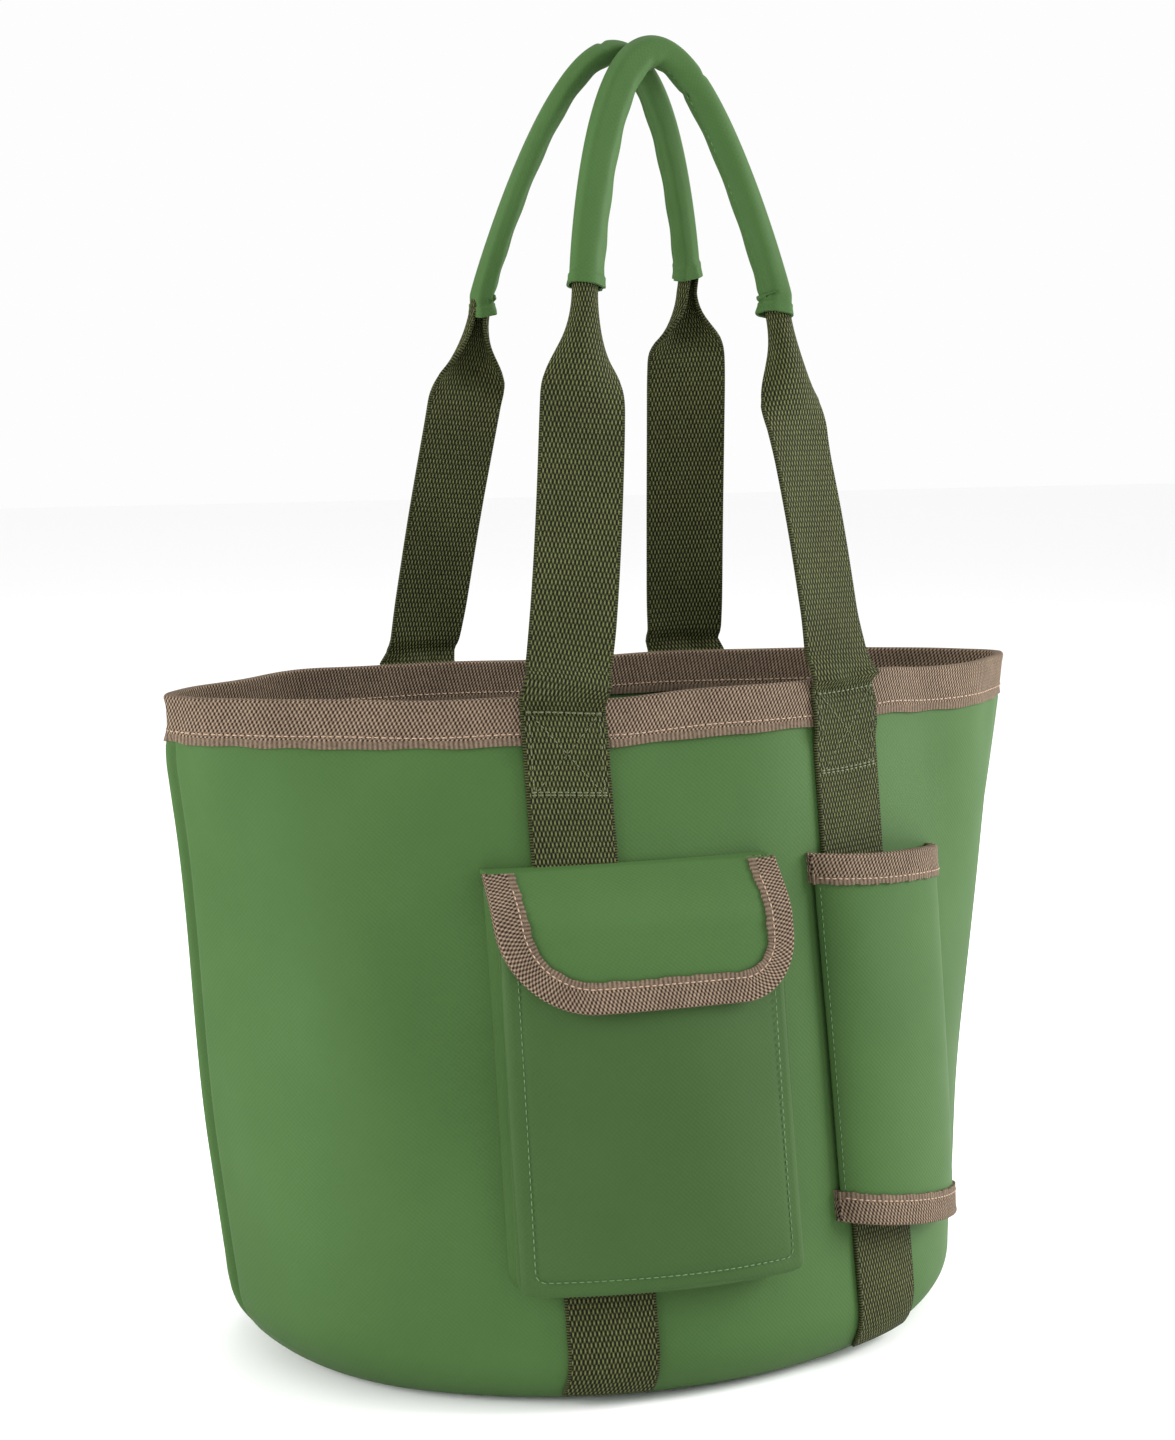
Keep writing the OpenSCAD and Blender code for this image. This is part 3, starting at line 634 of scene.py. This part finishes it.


# Polypropylene webbing: fat yarns with a low sheen, oval and pale, with painted shade darkening the gaps
# between them to a deep green.
# 1.74 mm between columns, rows every 2.37 mm, each row half a pitch over, ribbed edges.
def woven_webbing(name):
    material, tree, surface = new_material(name)
    lengths = add_node(tree, "ShaderNodeUVMap", {"uv_map": "cloth_metres"})
    split = add_node(tree, "ShaderNodeSeparateXYZ", None, {0: lengths.outputs[0]})
    across, along = split.outputs[0], split.outputs[1]
    column, two_rows, rib, selvage_w = 0.00174, 0.00474, 0.0012, 0.0014
    floats = add_node(tree, "ShaderNodeMath", {"operation": "MULTIPLY"},
                      {0: wave(tree, across, column), 1: wave(tree, along, two_rows)})
    shade_yarns(tree, surface, floats.outputs[0], wave(tree, along, rib), across, web_w / 2 - selvage_w,
                {"light": "65693f", "dark": "0d1107", "worn": (0.88, 1.1), "cloud_scale": 35.0,
                 "fuzz_scale": 800.0, "fuzz": 0.45, "fuzz_middle": 0.22, "gap": -0.2, "crown": 0.9,
                 "bump": 0.9, "yarn_height": 0.0006, "roughness": 0.66, "ior": 1.49})
    return material


webbing = woven_webbing("polypropylene_webbing")


step_below_tape, step_length = 0.009, 0.007


def strap_off(z):
    """How far the middle of the webbing lies off the cloth; it steps out over the rim binding."""
    step = smooth((z - height + rim_tape_w + step_below_tape) / step_length)
    return mix(layer_gap, strap_over_tape, step) + web_t / 2


def fold_at(x, side):
    """Point of the rim fold, where a strap becomes the leg of its handle."""
    return tub_x(x, height, strap_over_tape + web_t / 2, side) * [1, 1, 0] + [0, 0, fold_z]


def handle_at(side, x, h, out):
    """Point of a handle: x across, h above its fold, out in front of the handle's own plane."""
    x, h, out = np.broadcast_arrays(*(np.asarray(v, float) for v in (x, h, out)))
    a, b = fold_at(strap_left_x, side), fold_at(strap_right_x, side)
    top = side * (grip_d / 2 + grip_apart)
    lean = math.atan((top - (a[1] + b[1]) / 2) / handle_top)
    base_y = mix(a[1], b[1], (x - a[0]) / (b[0] - a[0]))
    y = mix(base_y, top, h / handle_top) + side * out * math.cos(lean)
    return np.stack([x, y, fold_z + h - side * out * math.sin(lean)], -1)


half_cols = 17
strap_end_angle = 48
leg_in_grip = 0.005
roll_open, roll_closed, roll_depth = 6, 300, 0.86
front_squeeze, back_squeeze = 0.70, 0.56


def webbing_leg(side, foot_x, grip_x, foot_turn, leg_turn, bow, roll_from, grip_end, skew):
    """Rows of points up one length of webbing, and its UV. The turns, in degrees, face the leg to one
    side; bow above or below 1 curves its line; skew makes one rolled edge wider than the other."""
    across = np.linspace(-1, 1, 2 * half_cols + 1) * web_w / 2
    wall_z = np.concatenate([edge_z(np.linspace(strap_end_angle, 0, 8)),
                             np.linspace(edge_r, strap_top_z, 84)[1:]])
    # the crease where the webbing turns over the rim
    lip = 0.0027 * hump(wall_z, strap_top_z, 0.0020) - 0.0013 * hump(wall_z, strap_top_z - 0.006, 0.0028)
    uneven = 1 + 0.35 * np.sin(across[None, :] * 260 + foot_x * 40)
    wall = tub_x(foot_x - side * across[None, :], wall_z[:, None],
                 strap_off(wall_z)[:, None] + lip[:, None] * uneven, side)
    leg_rise = grip_end + leg_in_grip
    h = np.linspace(0.002, leg_rise, 74)
    k = h / leg_h
    x = mix(foot_x, grip_x, k.clip(0, 1.02) ** bow)
    centre = handle_at(side, x, h, 0.0028 * hump(h, 0.0025, 0.0038))
    facing_front = smooth((h - roll_from + 0.015) / (grip_end - roll_from + 0.010))
    turn = np.radians(mix(foot_turn, leg_turn, smooth(h / 0.030)) * (1 - facing_front))
    right = np.stack([-side * np.cos(turn), -side * np.sin(turn), 0 * turn], -1)
    tangent = np.gradient(centre, axis=0)
    tangent /= np.linalg.norm(tangent, axis=1, keepdims=True)
    right -= tangent * (right * tangent).sum(1, keepdims=True)
    right /= np.linalg.norm(right, axis=1, keepdims=True)
    inner = np.cross(tangent, right)
    # the section is an arc that closes from nearly flat to nearly a ring
    closing = np.radians(roll_closed) * smooth((h - roll_from) / (grip_end - 0.002 - roll_from)) ** 0.8
    closing = np.maximum(closing, np.radians(roll_open))
    curve = (closing / web_w)[:, None]
    s = across[None, :] + (skew * web_w / 2 * smooth((h - roll_from) / 0.05))[:, None]
    flat = np.sin(curve * s) / curve
    deep = (1 - np.cos(curve * s)) / curve - 0.5 * (1 - np.cos(curve * web_w / 2)) / curve
    # the yarns crowd together where the cover grips them
    gathered = smooth((h - roll_from - 0.01) / (grip_end - roll_from - 0.01))[:, None]
    squeeze = mix(1, front_squeeze if side < 0 else back_squeeze, gathered)
    flutter = 0.0006 * np.sin(h * 55 + foot_x * 90)[:, None] * (across / web_w * 2)[None, :] ** 2
    leg = (centre[:, None] + right[:, None] * (flat * squeeze)[..., None]
           + inner[:, None] * (deep * squeeze * roll_depth + flutter * (squeeze > 0.99))[..., None])
    rows = np.concatenate([wall, leg])
    run = np.concatenate([[0], np.cumsum(np.linalg.norm(np.diff(rows[:, half_cols], axis=0), axis=1))])
    uv = np.stack(np.meshgrid(across, run), -1)
    return rows, uv


# name: side, foot, where the grip takes it, turn at the rim, turn of the leg, bow, start of the roll,
# height of the grip's end, skew
legs = {
    "front_left": (-1, strap_left_x, -0.0280, -8, -20, 0.78, 0.118, 0.1725, 0.00),
    "front_right": (-1, strap_right_x, 0.0700, 11, 18, 1.0, 0.108, 0.1615, 0.05),
    "back_left": (1, strap_left_x, -0.0470, 8, 3, 1.0, 0.120, 0.1640, -0.10),
    "back_right": (1, strap_right_x, 0.0600, -11, -22, 1.0, 0.140, 0.1760, 0.14),
}
for name, (side, foot_x, *leg_shape) in legs.items():
    rows, uv = webbing_leg(side, foot_x, *leg_shape)
    strap = grid_mesh(name + "_webbing", rows, (0, side, 0), uv)
    strap.data.materials.append(webbing)
    thicken(strap, web_t, offset=0.0, round_edge=0.0005)
    handle = "front_handle" if side < 0 else "back_handle"
    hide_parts(name + "_strap", handle + "_webbing")
    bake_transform(strap)

# the top of each strap is sewn down with a box and a cross
olive_thread = sewing_thread("spun_polyester_thread_olive", "5f6542", "363c20")
box_low, box_high, box_half, bar_gap = 0.262, 0.2975, 0.0155, 0.0012


def on_strap(x0, x1, z0, z1, middle, side, count=24):
    """A straight line of thread on the face of a strap."""
    x, z = np.linspace(x0, x1, count) + middle, np.linspace(z0, z1, count)
    return tub_x(x, z, strap_off(z) + web_t / 2 + 0.0001, side)


bar_rows, cross_rows = [], []
for side in (-1, 1):
    for middle in (strap_left_x, strap_right_x):
        w = box_half
        for z in (box_low, box_low + bar_gap, box_high):
            bar_rows.append(on_strap(-w, w, z, z, middle, side))
        for x0, x1 in ((-w, -w), (w, w), (-w, w), (w, -w)):
            cross_rows.append(on_strap(x0, x1, box_low, box_high, middle, side))
sew("strap_bar_stitches", "bag", bar_rows, olive_thread, pitch=0.0027, length=0.0023,
    thickness=0.0011)
sew("strap_cross_stitches", "bag", cross_rows, olive_thread, pitch=0.0029, length=0.0019,
    thickness=0.0006)

# ---- Grip covers -------------------------------------------------------------------------
# A strip of the same green oxford wrapped round the rolled webbing of each handle, its long
# edges turned in and sewn together on the inner side, with a turned hem at both ends.

grip_cloth = coated_oxford("coated_polyester_oxford_grip", "3c592f", "37522a")
green_thread = sewing_thread("spun_polyester_thread_green", "567a49", "35522c")


def grip_frames(side, lean, span, point, angles):
    """Centre, outward and sideways directions along the arch of a grip; point above 1 makes it pointed."""
    rise = np.abs(np.sin(angles)) ** point * np.sign(np.sin(angles))
    x = handle_mid + lean - span / 2 * np.cos(angles)
    centre = handle_at(side, x, leg_h + grip_rise * rise, 0.0)
    tangent = np.gradient(centre, axis=0)
    tangent /= np.linalg.norm(tangent, axis=1, keepdims=True)
    face = handle_at(side, x, leg_h + grip_rise * rise, 1e-4) - centre
    face /= np.linalg.norm(face, axis=1, keepdims=True)
    return centre, side * np.cross(tangent, face), face


# name, side, lean, span, point, width at the left and right end, the two end angles; the cover of
# the back handle is pulled tighter on its left than on its right
grips = (("front", -1, 0.010, grip_span, 1.8, grip_w, grip_w * 0.97, 8, 194),
         ("back", 1, -0.004, grip_span + 0.010, 1.8, grip_w * 0.62, grip_w * 0.84, -13, 164))
grip_length, grip_fullness = 0.31, 0.85
grip_steps, round_steps, hem_steps = 300, 48, 8
for name, side, lean, span, point, left_width, right_width, *ends in grips:
    angles = np.radians(np.linspace(*ends, grip_steps))
    width = mix(left_width, right_width, smooth(np.linspace(-0.4, 1.4, grip_steps)))[:, None]
    centre, out, face = grip_frames(side, lean, span, point, angles)
    turn = np.linspace(0, math.tau, round_steps, endpoint=False) + math.pi / 2
    c, s = np.cos(turn), np.sin(turn)
    along = np.linspace(0, 1, grip_steps)[:, None]
    # hems: the last 9 mm is two layers thick and flares a little
    end = np.minimum(along, 1 - along) * grip_length
    hem = 0.0006 * (1 - smooth((end - 0.008) / 0.002)) + 0.0005 * (1 - smooth(end / 0.006))
    crease = 0.00035 * np.sin(2 * turn + 5 * along + 1.0) + 0.00025 * np.sin(5 * turn - 9 * along)
    crease = crease + 0.00022 * np.sin(along * 95 + 2 * turn) * np.clip(-c, 0, 1)
    kink = -0.0009 * hump(along + 0.010 * np.cos(turn + 0.6), 0.56, 0.006)
    # the seam on the inner side: two turned edges meet in a shallow valley
    away = np.angle(np.exp(1j * (turn - math.pi * 0.98)))
    seam = -0.0010 * hump(away, 0, 0.09) + 0.0004 * hump(np.abs(away), 0.26, 0.14)
    grow = width / 2 * np.sign(c) * np.abs(c) ** grip_fullness + (hem + crease + kink + seam) * c
    rise = grip_d / 2 * np.sign(s) * np.abs(s) ** grip_fullness + (hem + crease + seam) * s
    rise = np.where(s < 0, np.maximum(rise, -grip_d / 2 - 0.0002), rise)
    points = centre[:, None] + out[:, None] * grow[..., None] + face[:, None] * rise[..., None]
    middle, opposite = (grip_steps - 1) // 2, round_steps // 2
    outward = out[middle] * c[opposite] + face[middle] * s[opposite]
    grip = grid_mesh(name + "_grip_cover_cloth", points, outward, ring=True)
    sew_in(grip, grip_cloth, grip_cloth_t, name + "_grip_cover", name + "_handle")
    valley = width / 2 - grip_cloth_t
    grip_seam = (centre - out * valley)[hem_steps:-hem_steps]
    sew(name + "_grip_cover_stitches", name + "_handle", [grip_seam], green_thread,
        pitch=0.0034)

# ---- Flap pocket ------------------------------------------------------------------------
# A box pocket on the front wall: a flat face panel whose sides and floor turn back to the
# wall, topstitched along the turn, with tape folded over its open top edge.

pocket_x, pocket_w, pocket_z = -0.036, 0.128, 0.054
flap_z, mouth_drop = 0.230, 0.020
pocket_depth_low, pocket_depth_top, pocket_corner = 0.011, 0.016, 0.007
pocket_left, pocket_right = pocket_x - pocket_w / 2, pocket_x + pocket_w / 2
pocket_mouth_z = flap_z - mouth_drop
hinge_a, hinge_b = tub_x(pocket_left, flap_z, 0, -1), tub_x(pocket_right, flap_z, 0, -1)
hinge_line = (hinge_b - hinge_a)[:2] / np.linalg.norm((hinge_b - hinge_a)[:2])
pocket_out = np.array([hinge_line[1], -hinge_line[0], 0.0])


def pocket_at(x, z, out):
    """Point out metres in front of the wall, square to the pocket's hinge line."""
    out = np.asarray(out, float)
    return tub_x(x, z, 0, -1) + out[..., None] * pocket_out


def pocket_depth(z):
    """How far the inside of the face stands off the wall."""
    up = np.clip((z - pocket_z) / (pocket_mouth_z - pocket_z), 0, 1)
    return mix(pocket_depth_low, pocket_depth_top, up)


def corner_outline(left, right, low, top, left_r, right_r, steps, arc_steps=9):
    """U-shaped outline: down the left side, round both corners and up the right side."""
    arc = np.radians(np.linspace(0, 90, arc_steps))[1:]
    xs = [np.full(steps, left), left + left_r - left_r * np.cos(arc),
          np.linspace(left + left_r, right - right_r, steps)[1:-1],
          right - right_r + right_r * np.cos(arc[::-1]), np.full(steps, right)]
    zs = [np.linspace(top, low + left_r, steps), low + left_r - left_r * np.sin(arc),
          np.full(steps - 2, low), low + right_r - right_r * np.sin(arc[::-1]),
          np.linspace(low + right_r, top, steps)]
    return np.concatenate(xs), np.concatenate(zs)


def corner_cut(h, r):
    """How far a corner of radius r is cut back at h above its lowest point."""
    return np.where(h < r, r - np.sqrt(np.clip(r ** 2 - (r - h) ** 2, 0, None)), 0)


# the gusset: one strip down the left side, along the floor and up the right, from the wall outwards
gusset_t, gusset_top, gusset_taper = 0.0016, flap_z - 0.006, 0.014
outline_x, outline_z = corner_outline(pocket_left, pocket_right, pocket_z, gusset_top,
                                      pocket_corner, pocket_corner, 46)
inset_dir_x = np.sign(pocket_x - outline_x) * (outline_z > pocket_z + 1e-4)
over_mouth = np.clip((outline_z - pocket_mouth_z) / gusset_taper, 0, 1)
side_depth = mix(pocket_depth(outline_z) + cloth_t, 0.0035, over_mouth)
wall_steps = np.linspace(0, 1, 12)
pinch = 0.0012 * np.sin(wall_steps * math.pi)
gusset_points = np.stack([
    pocket_at(outline_x + inset_dir_x * p, outline_z, mix(0.0004, side_depth - 0.0006, k))
    for k, p in zip(wall_steps, pinch)])
# the pocket is the same oxford with painted shade: its colours are a little darker than the wall's
pocket_cloth_painted_shade = coated_oxford("coated_polyester_oxford_pocket_painted_shade", "374f2a", "324a26")
gusset = grid_mesh("pocket_gusset_cloth", gusset_points, (0, 0, -1))
sew_in(gusset, pocket_cloth_painted_shade, gusset_t, "pocket_gusset", "bag")

# the face: rows and columns stand closer together near its turned edge
topstitch_in, topstitch_r, topstitch_top = 0.0065, 0.004, pocket_mouth_z - 0.014
low_face_rows = [0, 0.0012, 0.0028, 0.0048, pocket_corner]
high_face_rows = np.linspace(pocket_corner, pocket_mouth_z - pocket_z - 0.0006, 60)[1:]
face_rows = np.concatenate([low_face_rows, high_face_rows])
face_cols = np.concatenate([[0, 0.004, 0.012, 0.03], np.linspace(0.05, 0.95, 70), [0.97, 0.988, 0.996, 1]])
h = face_rows[:, None]
cut = corner_cut(h, pocket_corner)
face_x = mix(pocket_left + cut, pocket_right - cut, face_cols[None, :])
from_side = np.minimum(face_x - pocket_left, pocket_right - face_x)
from_edge = np.minimum(from_side, h + 0 * from_side)
# the turned edge is rounded, then the face swells slightly between its seams and lies flat at the mouth
turned = -0.0016 * (1 - np.clip(from_edge / 0.0022, 0, 1)) ** 2
stitched = -0.0005 * hump(from_edge, topstitch_in, 0.0014)
swell = 0.0016 * smooth(from_side / 0.05) * smooth(h / 0.06) + 0.0005 * np.sin(face_x * 75 + h * 22)
swell = swell * (1 - smooth((pocket_z + h - pocket_mouth_z + 0.040) / 0.024))
face_points = pocket_at(face_x, pocket_z + h + 0 * face_x,
                        pocket_depth(pocket_z + h) + layer_gap + cloth_t + turned + stitched + swell)
face = grid_mesh("pocket_panel_cloth", face_points, pocket_out)
sew_in(face, pocket_cloth_painted_shade, cloth_t, "pocket_panel", "bag", round_edge=0.0005)

top_x, top_z = corner_outline(pocket_left + topstitch_in, pocket_right - topstitch_in,
                              pocket_z + topstitch_in, topstitch_top, topstitch_r, topstitch_r, 40)
top_depth = pocket_depth(top_z) + layer_gap + cloth_t + 0.0003
sew("pocket_face_stitches", "bag", [pocket_at(top_x, top_z, top_depth)], green_thread,
    thickness=0.0006)

mouth_steps = np.linspace(pocket_left + 0.0023, pocket_right - 0.0023, 90)
fold_over("pocket_mouth_binding", "bag",
          lambda x, inset, lift: pocket_at(*np.broadcast_arrays(x, pocket_mouth_z - inset),
                                           pocket_depth(pocket_mouth_z - inset) + 0.0013 + lift),
          mouth_steps, edge_tape_w, edge_tape, (0, 0, 1), seed=11)

# ---- Flap ----------------------------------------------------------------------------------
# The pocket's cover: one layer of oxford sewn to the wall along its straight top edge, with
# two round lower corners and tape folded over the free edge. It turns on its sewn edge.

flap_over, flap_h, flap_corner_l, flap_corner_r = 0.003, 0.057, 0.040, 0.027
flap_left, flap_right = pocket_left - flap_over, pocket_right + flap_over
bulge_x = np.linspace(pocket_left, pocket_right, 21)
flap_mid_bulge = ((tub_x(bulge_x, flap_z, 0, -1) - hinge_a) @ pocket_out).max()
hinge_out = flap_mid_bulge + 0.004
# the middle of the flap lies over the face, the bound mouth and a small gap
flap_gap, flap_hem = 0.0004, 0.0006
flap_rest = 2 * layer_gap + cloth_t + 2 * tape_t + flap_gap + layer_gap + cloth_t / 2
flap_shoulder_z = pocket_mouth_z - 0.0025


def hinge_at(x):
    """Point of the straight line that the flap turns on."""
    k = (np.asarray(x) - hinge_a[0]) / (hinge_b[0] - hinge_a[0])
    return mix(hinge_a, hinge_b, k[..., None]) + hinge_out * pocket_out


def flap_at(x, z, up):
    """Point of the closed flap, up metres off the middle of its cloth: from the hinge line it comes
    forward over the shoulder of the pocket and hangs in front of the face."""
    x, z, up = np.broadcast_arrays(*(np.asarray(v, float) for v in (x, z, up)))
    k = np.sin(np.clip((flap_z - z) / (flap_z - flap_shoulder_z), 0, 1) * math.pi / 2)
    low = np.clip((flap_shoulder_z - z) / (flap_h * 0.7), 0, 1)
    flare = 0.0016 * hump(x, flap_left, 0.018) * low + 0.0006 * np.sin(x * 70) * low
    top = hinge_at(x) + up[..., None] * pocket_out
    front = pocket_at(x, z, pocket_depth(z) + flap_rest + up + flare)
    point = mix(top, front, k[..., None])
    return np.stack([point[..., 0], point[..., 1], z + 0 * point[..., 0]], -1)


def flap_outline(inset):
    """The free edge, inset metres in from it: down the left, round both corners, up the right."""
    return corner_outline(flap_left + inset, flap_right - inset, flap_z - flap_h + inset, flap_z + flap_hem,
                          flap_corner_l - inset, flap_corner_r - inset, 40, 25)


flap_edge_in = 0.0015
edge_x, edge_zs = flap_outline(flap_edge_in)
deep_x, deep_z = flap_outline(flap_edge_in + edge_tape_w)


def flap_edge_at(step, inset, lift):
    """Point along the free edge, for the tape and its stitches."""
    i = step.astype(int)
    k = inset / edge_tape_w
    return flap_at(mix(edge_x[i], deep_x[i], k), mix(edge_zs[i], deep_z[i], k), lift)


def side_x(z, left):
    """Left or right side of the cloth at a height."""
    r = (flap_corner_l if left else flap_corner_r) - flap_edge_in
    cut = corner_cut(z - (flap_z - flap_h + flap_edge_in), r)
    return flap_left + flap_edge_in + cut if left else flap_right - flap_edge_in - cut


# the cloth: columns between the two sides, rows from the lower edge to the wall
corner_turn = np.radians(np.linspace(0, 90, 22))
low_rows = flap_z - flap_h + flap_edge_in + flap_corner_l * (1 - np.cos(corner_turn))
flap_rows = np.concatenate([low_rows, np.linspace(low_rows[-1], flap_z, 14)[1:]])
flap_cols = 90
flap_x = mix(side_x(flap_rows, True)[:, None], side_x(flap_rows, False)[:, None],
             np.linspace(0, 1, flap_cols)[None, :])
flap_points = flap_at(flap_x, flap_rows[:, None], cloth_t / 2)
# the top turns in over the hinge line and lies back on the wall, where it is sewn down
back_steps = np.linspace(0, 1, 7)[1:]
wall_x = np.linspace(flap_left + flap_edge_in, flap_right - flap_edge_in, flap_cols)
wall_point = tub_x(wall_x, flap_z + 0.0035, 0.0021, -1)
line = hinge_at(wall_x) + pocket_out * cloth_t / 2
turned_in = []
for k in back_steps:
    arch = 0.0007 * math.sin(min(k * 1.25, 1) * math.pi / 2)
    turned_in.append(np.stack([wall_x, mix(line[:, 1], wall_point[:, 1], smooth(k)),
                               flap_z + arch + 0.0008 * k + 0 * wall_x], -1))
flap_points = np.concatenate([flap_points, np.array(turned_in)])
flap = grid_mesh("flap_panel_cloth", flap_points, pocket_out)
sew_in(flap, oxford, cloth_t, "flap_panel", None)
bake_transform(flap)

flap_tape = fold_over("flap_binding", None, flap_edge_at, np.arange(len(edge_x)), edge_tape_w, edge_tape,
                      (0, 0, -1), seed=7)
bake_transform(flap_tape)
stitched = np.arange(len(edge_x))[edge_zs < flap_z - 0.006]
sew("flap_binding_stitches", "flap", [flap_edge_at(stitched, edge_tape_w - 0.0028, cloth_t / 2 + tape_face)],
    brown_thread, pitch=0.003, length=0.0022)

# ---- Sleeve pocket -----------------------------------------------------------------------
# A strip of oxford sewn to the wall down its two long sides and left open at the top and
# the bottom, so that a long tool slides through. Tape is folded over both open edges.

sleeve_left, sleeve_w, sleeve_bulge = 0.056, 0.080, 0.014
sleeve_bottom, sleeve_top = (0.066, 0.051), (0.2275, 0.2215)


def sleeve_at(k, z, up):
    """k runs from the left edge to the right, z is the height, up is off the middle of the cloth."""
    out = layer_gap + sleeve_bulge * np.sin(np.clip(k, 0, 1) * math.pi) ** 0.6
    ripple = 0.0007 * np.sin(z * 46 + k * 4) * np.sin(np.clip(k, 0, 1) * math.pi)
    return tub_x(sleeve_left + sleeve_w * k, z, out + cloth_t / 2 + up + ripple, -1)


k = np.linspace(0, 1, 97)
k = 0.5 - 0.5 * np.cos(k * math.pi)
share = np.linspace(0, 1, 80)[:, None]
bottom, top = mix(*sleeve_bottom, k[None, :]), mix(*sleeve_top, k[None, :])
edge_in = 0.0012
sleeve_points = sleeve_at(k[None, :], mix(bottom + edge_in, top - edge_in, share), cloth_t / 2)
sleeve = grid_mesh("sleeve_panel_cloth", sleeve_points, (0.2, -1, 0))
sew_in(sleeve, oxford, cloth_t, "sleeve_panel", "bag")

for name, edge, way, seed in (("sleeve_bottom_binding", sleeve_bottom, 1, 21),
                              ("sleeve_top_binding", sleeve_top, -1, 22)):
    steps = np.linspace(-0.02, 1.02, 100)
    fold_over(name, "bag", lambda q, inset, lift: sleeve_at(q, mix(*edge, q) + way * (inset + edge_in), lift),
              steps, edge_tape_w, edge_tape, (0, 0, -way), seed)
    q = np.linspace(0.01, 0.99, 90)
    sew(name + "_stitches", "bag",
        [sleeve_at(q, mix(*edge, q) + way * (edge_tape_w - 0.0015), cloth_t / 2 + tape_face)],
        brown_thread, pitch=0.003, length=0.0022)

side_z = np.linspace(0.078, 0.212, 80)
sew("sleeve_side_stitches", "bag", [sleeve_at(k, side_z, cloth_t / 2 + 0.0002) for k in (0.012, 0.988)],
    green_thread, thickness=0.0006)
